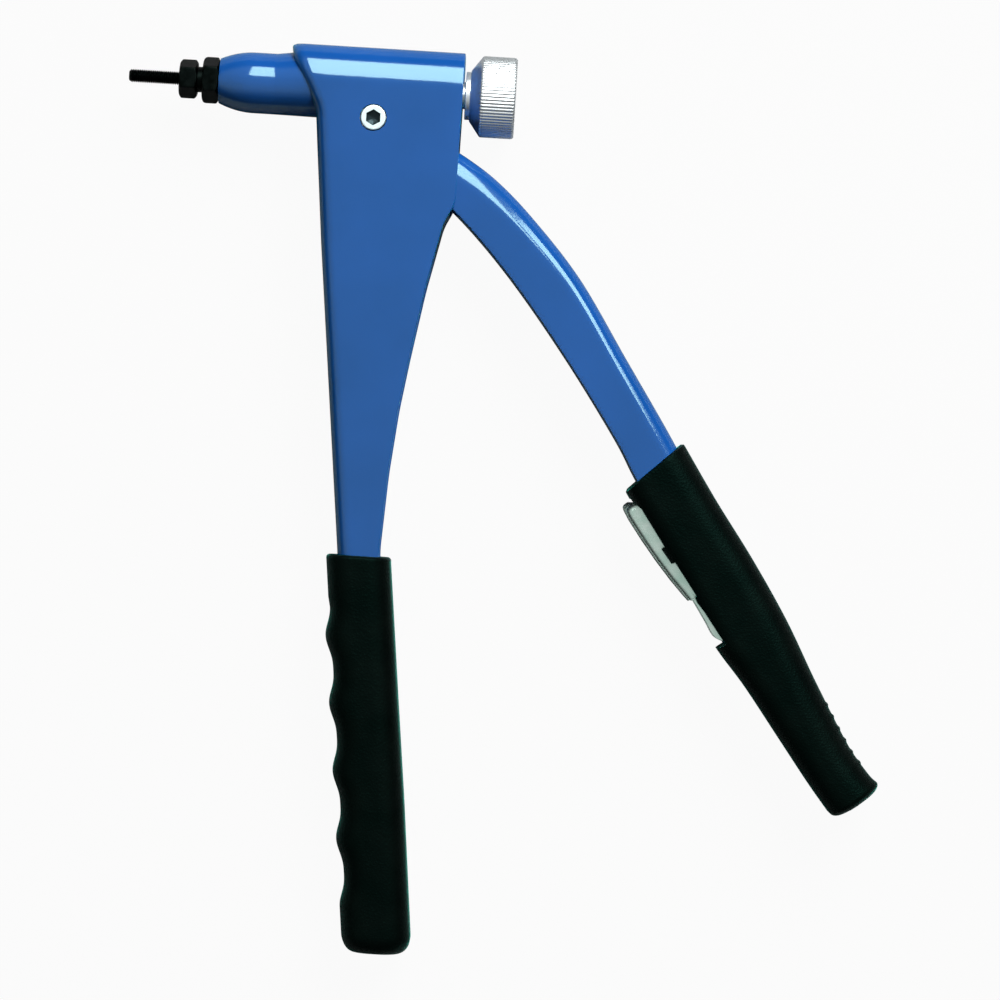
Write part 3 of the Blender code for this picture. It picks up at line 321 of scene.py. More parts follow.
def lengths_along(curve):
    """Distance from the first point to each point of a line."""
    return np.concatenate([[0.0], np.cumsum(np.linalg.norm(np.diff(curve, axis=0), axis=1))])


def even_path(curve, count):
    """Points at even distances along a line of points."""
    along = lengths_along(curve)
    places = np.linspace(0.0, along[-1], count)
    return np.stack([np.interp(places, along, curve[:, i]) for i in range(curve.shape[1])], axis=1)


def edge_x(edge, height, blur):
    """An edge's place at each height: straight between its points, then averaged over a window
    of the blur's half width, which rounds its corners."""
    order = np.argsort(edge[:, 1])
    heights = np.asarray(height)[..., None] + np.linspace(-blur, blur, 13)
    low, high = edge[order[0], 1], edge[order[-1], 1]
    mirrored = np.where(heights > high, 2 * high - heights, heights)
    mirrored = np.where(mirrored < low, 2 * low - mirrored, mirrored)
    return np.interp(mirrored, edge[order, 1], edge[order, 0]).mean(axis=-1)


def profile(corners, steps=6):
    """A line through (station, radius, rounding) corners. Each corner is a quadratic curve that
    starts and ends its rounding away, with one more point on each straight beside it."""
    points = np.array([corner[:2] for corner in corners], dtype=float)
    before = np.roll(points, 1, axis=0) - points
    after = np.roll(points, -1, axis=0) - points
    reach = np.minimum(np.linalg.norm(before, axis=1), np.linalg.norm(after, axis=1)) * 0.4
    t = np.linspace(0.0, 1.0, steps)[:, None]
    line = []
    for i, corner in enumerate(corners):
        rounding = min(corner[2], reach[i])
        if rounding <= 0:
            line.append(points[i][None])
            continue
        ends = [points[i] + way[i] / np.linalg.norm(way[i]) * rounding for way in (before, after)]
        curve = (1 - t) ** 2 * ends[0] + 2 * t * (1 - t) * points[i] + t ** 2 * ends[1]
        beside = [(end * 1.3 - points[i] * 0.3)[None] for end in ends]
        line += [beside[0], curve, beside[1]]
    return np.vstack(line)


def hexagon(angle, across_flats):
    """Radius of a hexagon at each angle from a corner: half its width over the cosine of the
    angle from the nearest flat's middle."""
    return across_flats / 2 / np.cos(np.mod(angle, math.pi / 3) - math.pi / 6)


def soft_min(a, b, sharpness=60.0):
    """The smaller of two radii, eased where they are nearly equal."""
    return (a ** -sharpness + b ** -sharpness) ** (-1.0 / sharpness)


def hexagonal(across_flats, hollow=False, after=-math.inf, before=math.inf, above=0.0, below=math.inf):
    """A radius rule for a turned piece. Between two stations and two radii, a hollow takes the
    hexagon's radius, and a solid the smaller of its own and the hexagon's."""

    def rule(angle, station, radius):
        flats = hexagon(angle, across_flats)
        inside = (station > after) & (station < before) & (radius > above) & (radius < below)
        return np.where(inside, flats if hollow else soft_min(radius, flats), radius)

    return rule


def turned(name, line, columns, radius_rule=None, axis="spindle", close_line=True, centre=(0.0, 0.0)):
    """A profile of (station, radius) points turned about the spindle, or about a cross axis that
    stands at a centre. A rule may change the radius with the angle and the station."""
    angle = np.linspace(0.0, 2 * math.pi, columns, endpoint=False)[None, :]
    station = np.broadcast_to(line[:, :1], (len(line), columns))
    radius = np.broadcast_to(line[:, 1:], (len(line), columns)).copy()
    if radius_rule is not None:
        radius = radius_rule(angle, station, radius)
    if axis == "spindle":
        grid = np.stack([station, SPINDLE_Y + radius * np.cos(angle), radius * np.sin(angle)], axis=-1)
    else:
        grid = np.stack([centre[0] + radius * np.sin(angle), centre[1] + radius * np.cos(angle),
                         station], axis=-1)
    if close_line:
        grid = np.concatenate([grid, grid[:1]])
    return shell(name, grid)


def cross_bore(name, low, high, radius, columns, centre=(0.0, 0.0)):
    """A cutter for a round hole across the tool, between two distances from its middle plane."""
    line = np.array([(low, 0.0), (low, radius), (high, radius), (high, 0.0)])
    return turned(name, line, columns, axis="cross", centre=centre)


# Channels and sleeves

def channel(name, outer, inner, bulge):
    """A bent sheet between an outer and an inner surface with equal rows and columns. Its two
    long rims stand out by the bulge as blunt half ovals, which take the cosine and the sine of
    a half turn to the power of 0.6, and its ends close on the middle of the sheet."""
    t = np.linspace(0.0, math.pi, 9)[1:-1][None, :, None]
    middle = (outer + inner) / 2
    half = (outer - inner) / 2
    curve = np.sign(np.cos(t)) * np.abs(np.cos(t)) ** 0.6
    out = np.sin(t) ** 0.6 * bulge[:, None, :]
    far_rim = middle[:, -1:] + half[:, -1:] * curve + out
    near_rim = middle[:, :1] - half[:, :1] * curve + out
    loop = np.concatenate([outer, far_rim, inner[:, ::-1], near_rim], axis=1)
    rim_columns = far_rim.shape[1]
    ends = np.concatenate([middle, np.repeat(middle[:, -1:], rim_columns, axis=1), middle[:, ::-1],
                           np.repeat(middle[:, :1], rim_columns, axis=1)], axis=1)
    return shell(name, np.concatenate([ends[:1], loop, ends[-1:]]))


def capped(grid):
    """A grid with one more row at either end, gathered in the middle of the end's ring."""
    ends = [np.broadcast_to(ring.mean(axis=0), ring.shape)[None] for ring in (grid[0], grid[-1])]
    return np.concatenate([ends[0], grid, ends[1]])


def sleeve(name, outer, inner):
    """A closed-ended sleeve: its bore from the closed end out to the mouth, a flat lip, and
    its outside to the far end. Both ends close on their middle."""
    t = np.linspace(0.0, 1.0, 8)[1:-1][:, None, None]
    lip = inner[:1] + (outer[:1] - inner[:1]) * t
    return shell(name, capped(np.concatenate([inner[::-1], lip, outer])))


def as_columns(*values):
    """Numbers and rows of numbers as columns of one length."""
    return [np.atleast_1d(v).astype(float)[:, None] for v in np.broadcast_arrays(*values)]


def rounded_section(first, last, half, first_corner, last_corner, arc=9, side=7, end=7):
    """Points round a rectangle with rounded corners, one row for each value given: along the
    near side, round the first end, back along the far side and round the last end. Each stretch
    runs straight from the corner before it, and then a quarter of a circle round its own."""
    first, last, half, first_corner, last_corner = as_columns(
        first, last, half, first_corner, last_corner)
    corners = [(first + first_corner, half - first_corner, first_corner),
               (first + first_corner, first_corner - half, first_corner),
               (last - last_corner, last_corner - half, last_corner),
               (last - last_corner, half - last_corner, last_corner)]
    turn = np.linspace(0.0, math.pi / 2, arc, endpoint=False)[None, :]
    x = []
    z = []
    for i, (centre_x, centre_z, radius) in enumerate(corners):
        before_x, before_z, before_radius = corners[i - 1]
        share = np.linspace(0.0, 1.0, end if i % 2 else side, endpoint=False)[None, :]
        angle = i * math.pi / 2
        from_x = before_x - before_radius * math.sin(angle)
        from_z = before_z + before_radius * math.cos(angle)
        x += [from_x + (centre_x - radius * math.sin(angle) - from_x) * share,
              centre_x - radius * np.sin(angle + turn)]
        z += [from_z + (centre_z + radius * math.cos(angle) - from_z) * share,
              centre_z + radius * np.cos(angle + turn)]
    return np.concatenate(x, axis=1), np.concatenate(z, axis=1)


def c_section(start, corner_x, corner_z, radius_x, radius_z, arc=12, side=10, web=7):
    """An open C, one row for each value given: from its start along the near side, round a
    quarter ellipse, across the web, round the other and back along the far side."""
    start, corner_x, corner_z, radius_x, radius_z = as_columns(
        start, corner_x, corner_z, radius_x, radius_z)
    s = np.linspace(0.0, 1.0, side, endpoint=False)[None, :]
    a = np.linspace(0.0, math.pi / 2, arc, endpoint=False)[None, :]
    w = np.linspace(1.0, 0.0, web)[None, :]
    x = np.concatenate([start + (corner_x - start) * s, corner_x + radius_x * np.sin(a),
                        corner_x + radius_x + 0 * w], axis=1)
    z = np.concatenate([corner_z + radius_z + 0 * s, corner_z + radius_z * np.cos(a),
                        corner_z * w], axis=1)
    return np.concatenate([x, x[:, -2::-1]], axis=1), np.concatenate([z, -z[:, -2::-1]], axis=1)


def level(x, height, z):
    """Level sections, one row at each height up the tool."""
    return np.stack([x, np.broadcast_to(height[:, None], x.shape), z], axis=-1)


def swept(origins, ways, x, z):
    """Sections across a path, one row for each of its points, laid out along that point's way."""
    plane = origins[:, None, :] + ways[:, None, :] * x[..., None]
    return np.concatenate([plane, z[..., None]], axis=-1)


def ways_across(inner, outer):
    """Unit ways from one path to another, and the distances between them."""
    ways = outer - inner
    distances = np.linalg.norm(ways, axis=1)
    return ways / distances[:, None], distances


# Pressed steel of the head, handle and lever

def half_width(height):
    """Half of the channel's width at each height: straight from the head's to the handle's."""
    share = np.clip((TAPER_TOP - height) / (TAPER_TOP - TAPER_BOTTOM), 0.0, 1.0)
    return HEAD_HALF + (HANDLE_HALF - HEAD_HALF) * share


def crown_line():
    """Section of the head's crown: how far it has risen above the cheek and leaned in from it, at
    each tilt of its surface. Its radius passes from the shoulder's to the crown's by a smooth
    step, and the rise and the lean are its cosine and sine parts added up over the tilt."""
    tilt = np.linspace(0.0, math.pi / 2, 56)
    start, end = CROWN_BLEND_DEG
    share = np.clip((np.degrees(tilt) - start) / (end - start), 0.0, 1.0)
    radius = SHOULDER_RADIUS + (CROWN_RADIUS - SHOULDER_RADIUS) * eased(share)
    piece = (radius[1:] + radius[:-1]) / 2 * np.diff(tilt)
    middle = (tilt[1:] + tilt[:-1]) / 2
    rise = np.concatenate([[0.0], np.cumsum(piece * np.cos(middle))])
    lean_in = np.concatenate([[0.0], np.cumsum(piece * np.sin(middle))])
    return tilt, rise, lean_in


def housing_surface(inset, rows, tilt, rise, lean_in):
    """One face of the channel, the inset in from its outside. Its sections are Cs that open to the
    rear. Above the cheeks the half width follows the crown's line, and the last row lies on the
    middle plane."""
    height = np.concatenate([rows, HEAD_TOP - rise[-1] + rise - inset * np.sin(tilt)])
    nip = np.clip((height - HEAD_TOP + CORNER_ROUND) / CORNER_ROUND, 0.0, 1.0)
    edge = edge_x(FRONT_EDGE, height, FRONT_BLUR)
    # The last heights may be equal, and a slope needs them apart.
    apart = height + np.arange(len(height)) * 1e-12
    lean = np.clip(np.nan_to_num(np.gradient(edge, apart)), -1.0, 1.0)
    front = edge + inset * np.sqrt(1 + lean ** 2) + CORNER_ROUND * (1 - np.sqrt(1 - nip ** 2))
    rear = edge_x(REAR_EDGE, height, REAR_BLUR) - REAR_RIM
    tilt = np.concatenate([np.zeros(len(rows)), tilt])
    half = half_width(height) - np.concatenate([np.zeros(len(rows)), lean_in]) - inset * np.cos(tilt)
    corner = np.minimum(FRONT_BEND - inset, 0.98 * half)
    x, z = c_section(-rear, -(front + corner), half - corner, corner, corner)
    grid = level(-x, height, z)
    top = grid[-1:].copy()
    top[..., 2] = 0.0
    return np.concatenate([grid, top])


def build_housing():
    """Channel of the head and the fixed handle: an outer and an inner face the sheet apart, less
    the nose's hole, which grows as the nose does, and the pivot's hole."""
    tilt, rise, lean_in = crown_line()
    rows = np.linspace(HANDLE_BOTTOM, HEAD_TOP - rise[-1], 200, endpoint=False)
    outer = housing_surface(0.0, rows, tilt, rise, lean_in)
    inner = housing_surface(SHEET, rows, tilt, rise, lean_in)
    bulge = np.zeros((len(outer), 3))
    bulge[:, 0] = REAR_RIM
    item = channel("head_and_handle", outer, inner, bulge)
    front, rear = -0.045, -0.010
    bore = np.stack([np.linspace(front, rear, 36), np.full(36, NOSE_RADIUS + NOSE_HOLE_GAP)], axis=1)
    nose_hole = turned("nose_hole", np.vstack([[(front, 0.0)], bore, [(rear, 0.0)]]), 96, nose_swell)
    return carve(item, nose_hole, cross_bore("pivot_hole", -0.02, 0.02, PIVOT_HOLE_RADIUS, 72))


def lever_surface(wall, web):
    """One face of the lever's channel: Cs that open to the inner edge, from the head to the
    end that the grip covers. Their outer corners are ellipses, wide at the head and round from
    a third of the way down, with a smooth step between."""
    inner = smooth_path(LEVER_INNER, LEVER_ROWS)
    across, length = ways_across(inner, smooth_path(LEVER_OUTER, LEVER_ROWS))
    share = np.clip(np.linspace(0.0, 1.0, LEVER_ROWS) / LEVER_BEAD_SHARE, 0.0, 1.0)
    bead = LEVER_BEAD + (LEVER_BEAD_AT_HEAD - LEVER_BEAD) * (1 - eased(share))
    x, z = c_section(LEVER_RIM, length - bead, LEVER_HALF - LEVER_BEAD, bead - web, LEVER_BEAD - wall)
    return swept(inner, across, x, z), across


def eye_arc(first_deg, last_deg, count):
    """Points of the outline round the pivot's eye."""
    angle = np.radians(np.linspace(first_deg, last_deg, count))
    return EYE_RADIUS * np.stack([np.cos(angle), np.sin(angle)], axis=1)


def fork_plate(low, high):
    """One arm of the fork: a plate round the pivot's eye. At each angle it runs from the eye
    to the outline, which is read as a distance from the eye's middle, and its edges are eased."""
    pad = np.radians(np.linspace(180, 0, 25))
    pad = np.stack([FORK_PAD_RADIUS * np.cos(pad), SPINDLE_Y + FORK_PAD_RADIUS * np.sin(pad)], axis=1)
    side = np.array([(FORK_PAD_RADIUS * 0.9, SPINDLE_Y - FORK_SIDE_DROP)])
    neck = np.array([LEVER_OUTER[0], LEVER_INNER[0]])
    outline = np.vstack([pad, side, eye_arc(48, 38, 2), neck, eye_arc(262, 150, 25), pad[:1]])
    outline = even_path(outline, 1500)
    angle = np.unwrap(np.arctan2(outline[:, 1], outline[:, 0]))
    order = np.argsort(angle)
    around = np.linspace(0.0, 2 * math.pi, 240, endpoint=False)
    reach = np.interp(around, angle[order], np.hypot(*outline.T)[order], period=2 * math.pi)
    hole = np.full_like(reach, EYE_BORE)
    side_radii = [hole, hole + FORK_EASE, reach - FORK_EASE, reach]
    radii = np.stack(side_radii + side_radii[::-1])
    heights = np.array([high - FORK_EASE, high, high, high - FORK_EASE,
                        low + FORK_EASE, low, low, low + FORK_EASE])
    grid = np.stack([radii * np.cos(around), radii * np.sin(around),
                     np.broadcast_to(heights[:, None], radii.shape)], axis=-1)
    return shell("fork_plate", np.concatenate([grid, grid[:1]]))


def build_lever():
    """Channel of the lever: an outer and an inner face the sheet apart, and the fork's two arms."""
    outer, across = lever_surface(0.0, 0.0)
    inner = lever_surface(LEVER_CHEEK, LEVER_WEB)[0]
    bulge = np.concatenate([-LEVER_RIM * across, np.zeros((len(across), 1))], axis=1)
    arm = channel("lever_arm_shell", outer, inner, bulge)
    plates = [fork_plate(LEVER_HALF - LEVER_CHEEK, LEVER_HALF),
              fork_plate(-LEVER_HALF, LEVER_CHEEK - LEVER_HALF)]
    return join("lever_channel", [arm] + plates)


# Moulded grips

def build_fixed_grip():
    """Sleeve over the handle. Its front follows the line of finger crests, less a valley that
    is one minus a raised cosine to the power of one and a half. Its collar above the first
    valley and its back are plain."""
    body = np.linspace(FIXED_GRIP_TOP - FIXED_GRIP_LIP, FIXED_GRIP_BOTTOM + FIXED_GRIP_END, 220)
    lip_turn = np.linspace(0.0, math.pi / 2, 8, endpoint=False)
    end_turn = np.linspace(0.0, math.pi / 2, 16)[1:]
    height = np.concatenate([FIXED_GRIP_TOP - FIXED_GRIP_LIP * (1 - np.cos(lip_turn)), body,
                             FIXED_GRIP_BOTTOM + FIXED_GRIP_END * (1 - np.sin(end_turn))])
    trim = np.concatenate([FIXED_GRIP_LIP * (1 - np.sin(lip_turn)), np.zeros(len(body)),
                           FIXED_GRIP_END_TRIM * (1 - np.cos(end_turn))])
    phase = 2 * math.pi * (height - CREST_TOP[1]) / FINGER_PITCH
    valley = 1 - (0.5 + 0.5 * np.cos(phase)) ** 1.5
    first_valley = CREST_TOP[1] + FINGER_PITCH / 2
    blend = np.clip((height - first_valley) / COLLAR_BLEND + 0.5, 0.0, 1.0)
    valley = valley * (1 - blend) + COLLAR_DEPTH_SHARE * blend
    valley = np.where(height < CREST_TOP[1] - 4 * FINGER_PITCH, 0.0, valley)
    lean = (CREST_BOTTOM[0] - CREST_TOP[0]) / (CREST_BOTTOM[1] - CREST_TOP[1])
    front = CREST_TOP[0] + lean * (height - CREST_TOP[1]) + FINGER_DEPTH * valley
    rear = edge_x(FIXED_GRIP_REAR, height, FIXED_GRIP_BLUR)
    corner = FIXED_GRIP_CORNER - trim * 0.4
    x, z = rounded_section(front + trim * 0.7, rear - trim, GRIP_HALF - trim, corner, corner)
    outer = level(x, height, z)
    depth = np.linspace(FIXED_GRIP_TOP, HANDLE_BOTTOM - FIT, 60)
    x, z = rounded_section(edge_x(FRONT_EDGE, depth, FRONT_BLUR) - FIT,
                           edge_x(REAR_EDGE, depth, REAR_BLUR) + FIT,
                           half_width(depth) + FIT, FRONT_BEND + FIT, BORE_CORNER)
    return sleeve("fixed_grip_sleeve", outer, level(x, depth, z))


def lever_grip_outside():
    """Outside of the sleeve over the lever's end. Its sections run between its inner and its outer
    edge, with small ribs across the outer edge near the end, and a dome closes it."""
    outer_edge = smooth_path(GRIP_OUTER, 230)
    inner_edge = smooth_path(GRIP_INNER, 230)
    across, length = ways_across(inner_edge, outer_edge)
    along = lengths_along(outer_edge)
    mouth = 1 - np.minimum(along / GRIP_MOUTH_LENGTH, 1.0)
    turn = np.linspace(0.0, math.pi / 2, 14)[1:]
    onward = np.array([across[-1, 1], -across[-1, 0]])
    origin = np.vstack([inner_edge, inner_edge[-1] + onward * GRIP_DOME * np.sin(turn)[:, None]])
    ways = np.vstack([across, np.repeat(across[-1:], len(turn), axis=0)])
    reach = np.concatenate([length, np.full(len(turn), length[-1])])
    trim = np.concatenate([GRIP_MOUTH_TRIM * (1 - np.sqrt(1 - mouth ** 2)),
                           GRIP_DOME * 1.7 * (1 - np.cos(turn))])
    x, z = rounded_section(trim, reach - trim, GRIP_HALF - trim, GRIP_INNER_CORNER - trim * 0.4,
                           GRIP_OUTER_CORNER - trim * 0.4, arc=12)
    from_end = along[-1] - along
    rib = np.clip((from_end - RIB_FIRST) / 0.001, 0, 1) * np.clip((RIB_LAST - from_end) / 0.001, 0, 1)
    rib = rib * np.maximum(np.cos(2 * math.pi * from_end / RIB_PITCH), 0.0) ** 2
    flare = np.clip(1 - from_end / GRIP_FLARE_LENGTH, 0.0, 1.0) ** 2
    rise = np.concatenate([RIB_HEIGHT * rib + GRIP_FLARE * flare, np.full(len(turn), GRIP_FLARE)])
    edgeward = np.clip((x - reach[:, None] + OUTER_BAND) / OUTER_BAND, 0.0, 1.0) ** 2
    return swept(origin, ways, x + rise[:, None] * edgeward, z)


def lever_grip_bore():
    """Bore of the same sleeve: the lever's outline and a fit, from just inside the mouth."""
    outer = smooth_path(LEVER_OUTER, 400)
    inner = smooth_path(LEVER_INNER, 400)
    way = ways_across(GRIP_INNER[:1], GRIP_OUTER[:1])[0][0]
    first_outer = np.argmin(np.linalg.norm(outer - (GRIP_OUTER[0] - way * GRIP_WALL), axis=1))
    first_inner = np.argmin(np.linalg.norm(inner - (GRIP_INNER[0] + way * GRIP_WALL), axis=1))
    inner = even_path(inner[first_inner:], 60)
    ways, length = ways_across(inner, even_path(outer[first_outer:], 60))
    x, z = rounded_section(-FIT, length + FIT, LEVER_HALF + FIT, BORE_CORNER, LEVER_BEAD, arc=12)
    return swept(inner, ways, x, z)


def build_lever_grip():
    """Sleeve over the lever's end, less the latch's recess and the window below it."""
    item = sleeve("lever_grip_sleeve", lever_grip_outside(), lever_grip_bore())
    return carve(item, face_block("latch_recess", RECESS_FLOOR, RECESS_HALF),
                 face_block("latch_window", WINDOW, WINDOW_HALF))


def on_face(along, into):
    """Points of the moving grip's latch face, from distances along the face and into the grip."""
    start = GRIP_INNER[0]
    way = GRIP_INNER[3] - start
    way = way / np.linalg.norm(way)
    inward = np.array([-way[1], way[0]])
    along, into = np.broadcast_arrays(along, into)
    return start + along[..., None] * way + into[..., None] * inward


def face_block(name, places, half):
    """A block with an outline on the latch face, as deep to either side of the middle plane."""
    corners = on_face(*places.T)
    count = len(corners)
    points = np.concatenate([np.concatenate([corners, np.full((count, 1), side)], axis=1)
                             for side in (-half, half)]) + PIVOT
    ring = np.arange(count)
    walls = np.stack([ring, np.roll(ring, -1), np.roll(ring, -1) + count, ring + count], axis=1)
    ends = [ring[::-1].tolist(), (ring + count).tolist()]
    mesh = bpy.data.meshes.new(name)
    mesh.from_pydata(points.tolist(), [], walls.tolist() + ends)
    tidy(mesh)
    return linked(name, mesh)


def latch_side(inset, station):
    """One face of the latch's channel: Cs that open into the grip between the back's line and
    the cheeks' edge. Towards the head their half width follows a quarter circle, which rounds
    the head as a spoon's. Behind the bends the cheeks spring open by the flare."""
    back = np.interp(station, *LATCH_BACK.T) + inset
    edge = np.interp(station, *LATCH_CHEEK_EDGE.T)
    spoon = np.clip((LATCH_BACK[0, 0] + LATCH_SPOON - station) / LATCH_SPOON, 0.0, 1.0)
    half = (LATCH_HALF - inset) * np.sqrt(1 - 0.995 * spoon ** 2)
    deepest = np.maximum(0.7 * (edge - back), 1e-5)
    bend = np.minimum(np.minimum(LATCH_BEND - inset * 0.5, 0.8 * half), deepest)
    x, z = c_section(-edge, -back - bend, half - bend, bend, bend)
    z = z + np.sign(z) * LATCH_FLARE * np.clip(-x - back[:, None] - LATCH_BEND, 0.0, None)
    return np.concatenate([on_face(station[:, None], -x), z[..., None]], axis=-1)


def latch_ear(low, high):
    """Flat ear from the channel's end round the pin: at each station its section runs between
    its outer and its inner line, which meet in a half circle behind the pin."""
    turn = np.linspace(0.0, math.pi / 2, 20)
    station = np.concatenate([np.linspace(EAR_START, EAR_ROUND_START, 20, endpoint=False),
                              EAR_ROUND_START + EAR_ROUND_LENGTH * np.sin(turn)])
    past = np.clip(station - EAR_ROUND_START, 0.0, None) / EAR_ROUND_LENGTH
    tip = np.sqrt(np.clip(1 - past ** 2, 0.0, 1.0))
    outer = EAR_MIDDLE + (np.interp(station, *EAR_OUTER.T) - EAR_MIDDLE) * tip
    inner = EAR_MIDDLE + (np.interp(station, *EAR_INNER.T) - EAR_MIDDLE) * tip
    corner = np.minimum(EAR_CORNER, 0.4 * np.abs(inner - outer)) + 1e-6
    x, z = rounded_section(outer, inner, (high - low) / 2, corner, corner, arc=4, side=5, end=3)
    sprung = np.clip(x - EAR_SPRUNG_FROM, 0.0, EAR_SPRUNG_DEPTH)
    z = z + (low + high) / 2 + math.copysign(LATCH_FLARE, low) * sprung
    grid = np.concatenate([on_face(station[:, None], x), z[..., None]], axis=-1)
    bore = cross_bore("ear_bore", low - 0.001, high + 0.001, LATCH_PIN_HOLE, 40, on_face(*LATCH_PIN))
    return carve(shell("latch_ear", capped(grid)), bore)


def build_latch():
    """Latch pressing: a channel between an outer and an inner face the sheet apart, whose stations
    close up towards its round head by one minus a cosine, and two ears."""
    first = LATCH_BACK[0, 0]
    turn = np.linspace(0.0, math.pi / 2, 24, endpoint=False)
    station = np.concatenate([first + LATCH_HEAD * (1 - np.cos(turn)),
                              np.arange(first + LATCH_HEAD, LATCH_END - 0.0001, 0.00022), [LATCH_END]])
    pressing = channel("latch_channel", latch_side(0.0, station), latch_side(LATCH_SHEET, station),
                       np.zeros((len(station), 3)))
    ears = [latch_ear(LATCH_HALF - LATCH_SHEET, LATCH_HALF),
            latch_ear(-LATCH_HALF, LATCH_SHEET - LATCH_HALF)]
    return join("latch_pressing", [pressing] + ears)


# Turned pieces of the spindle train

def nose_swell(angle, station, radius):
    """Radius of the barrel near the head: it grows in a straight line towards the head, most at
    the top and not at all at the bottom, by the root of a raised cosine."""
    rise = np.clip((station - NOSE_FILLET[0]) / (NOSE_FILLET[1] - NOSE_FILLET[0]), 0.0, 1.0)
    swollen = radius + NOSE_SWELL * rise * np.sqrt(0.5 + 0.5 * np.cos(angle))
    return np.where(radius > 0.008, swollen, radius)


def build_nose():
    """Barrel whose front rounds down to its tip as a parabola, and which swells into the head."""
    share = np.linspace(0.0, 1.0, 28)
    radius = NOSE_TIP_RADIUS + (NOSE_RADIUS - NOSE_TIP_RADIUS) * (1 - (1 - share) ** 2)
    front = np.stack([NOSE_FRONT + 0.0003 + (NOSE_TAPER - 0.0003) * share, radius], axis=1)
    lead = np.array([(NOSE_FRONT, NOSE_THREAD), (NOSE_FRONT, NOSE_TIP_RADIUS - 0.0004),
                     (NOSE_FRONT + 0.0001, NOSE_TIP_RADIUS - 0.0001)])
    station = np.linspace(NOSE_FRONT + NOSE_TAPER + 0.0005, NOSE_REAR, 60)
    straight = np.stack([station, np.full_like(station, NOSE_RADIUS)], axis=1)
    bore = np.array([(NOSE_REAR, NOSE_BORE), (NOSE_STOP, NOSE_BORE), (NOSE_STOP, NOSE_THREAD)])
    return turned("nose_barrel", np.vstack([lead, front, straight, bore]), 128, nose_swell)


def build_anvil():
    """Hexagon head with chamfered corners: at each angle the smaller of the turned radius and
    the hexagon's. Neck and shank are plain."""
    line = profile([(-0.0728, 0.0028, 0.0), (-0.0728, 0.0060, 0.0004), (-0.0719, 0.0073, 0.0004),
                    (-0.0670, 0.0073, 0.0004), (-0.0661, 0.0060, 0.0003), (-0.0661, 0.0047, 0.0002),
                    (-0.0506, 0.0047, 0.0003), (-0.0506, 0.0028, 0.0)])
    return turned("anvil_hexagon", line, 288, hexagonal(ANVIL_HEXAGON, before=-0.06605, above=0.0050))


def build_lock_nut():
    """Hexagon nut with domed corners at the front and a small chamfer at the back."""
    dome = np.linspace(0.0, math.pi / 2, 14)
    front = np.stack([-0.0642 + 0.0017 * (1 - np.cos(dome)), 0.0068 + 0.0019 * np.sin(dome)], axis=1)
    line = np.vstack([[(-0.0642, 0.0050)], front,
                      profile([(-0.0620, 0.0087, 0.0), (-0.0589, 0.0087, 0.0005),
                               (-0.0583, 0.0077, 0.0004), (-0.0583, 0.0050, 0.0)])])
    return turned("lock_nut", line, 288, hexagonal(LOCK_NUT_HEXAGON, above=0.0055))


def build_mandrel():
    """Threaded rod. The thread's radius falls from the crest by a flattened triangle wave of the
    station over the pitch less the turn, and never passes the chamfered tip's cone."""
    station = np.concatenate([np.linspace(MANDREL_TIP, THREAD_END, 250),
                              [THREAD_END + 0.0005, MANDREL_HEAD_FRONT]])
    radius = np.minimum(MANDREL_RADIUS, MANDREL_TIP_RADIUS + (station - MANDREL_TIP) * 0.9)
    head = profile([(MANDREL_HEAD_FRONT, MANDREL_RADIUS, 0.0), (MANDREL_HEAD_FRONT, 0.0046, 0.0003),
                    (-0.0425, 0.0046, 0.0003), (-0.0425, 0.0, 0.0)])
    line = np.vstack([[(MANDREL_TIP, 0.0)], np.stack([station, radius], axis=1), head])

    def thread(angle, station, radius):
        share = np.mod(station / THREAD_PITCH - angle / (2 * math.pi), 1.0)
        wave = np.clip((np.abs(2 * share - 1) - 0.12) / 0.76, 0.0, 1.0)
        threaded = np.minimum(radius, MANDREL_RADIUS - THREAD_DEPTH * wave)
        rod = np.where((station < THREAD_END) & (radius > 0.0005), threaded, radius)
        in_head = station > MANDREL_HEAD_FRONT - 0.0001
        return np.where(in_head, np.minimum(rod, hexagon(angle, MANDREL_HEXAGON)), rod)

    return turned("threaded_mandrel", line, 60, thread, close_line=False)


def build_knob():
    """Neck, cone and knurled band. On the band the radius falls into straight grooves by the
    three-halves power of a raised cosine of the angle times their number."""
    line = profile([
        (0.0331, 0.0053, 0.0003), (0.0331, 0.00885, 0.0003), (0.0349, 0.00885, 0.0001),
        (0.0349, 0.0094, 0.0002), (0.0390, KNOB_RADIUS, 0.0006), (0.0509, KNOB_RADIUS, 0.0005),
        (0.05165, 0.0144, 0.0003), (0.05165, 0.0062, 0.0004), (0.05155, 0.00505, 0.0003),
        (0.0452, 0.00505, 0.0002), (0.0452, 0.0025, 0.0001), (0.0430, 0.0025, 0.0001),
        (0.0430, 0.0053, 0.0001)])
    band = np.stack([np.linspace(0.0396, 0.0502, 16), np.full(16, KNOB_RADIUS)], axis=1)
    split = int(np.argmax(line[:, 0] > 0.045))
    line = np.vstack([line[:split], band, line[split:]])

    def knurl(angle, station, radius):
        groove = (0.5 + 0.5 * np.cos(KNOB_GROOVES * angle)) ** 1.5
        where = np.clip((radius - 0.01445) / 0.0004, 0.0, 1.0)
        return radius - KNOB_GROOVE_DEPTH * groove * where

    return turned("knurled_knob", line, 600, knurl)


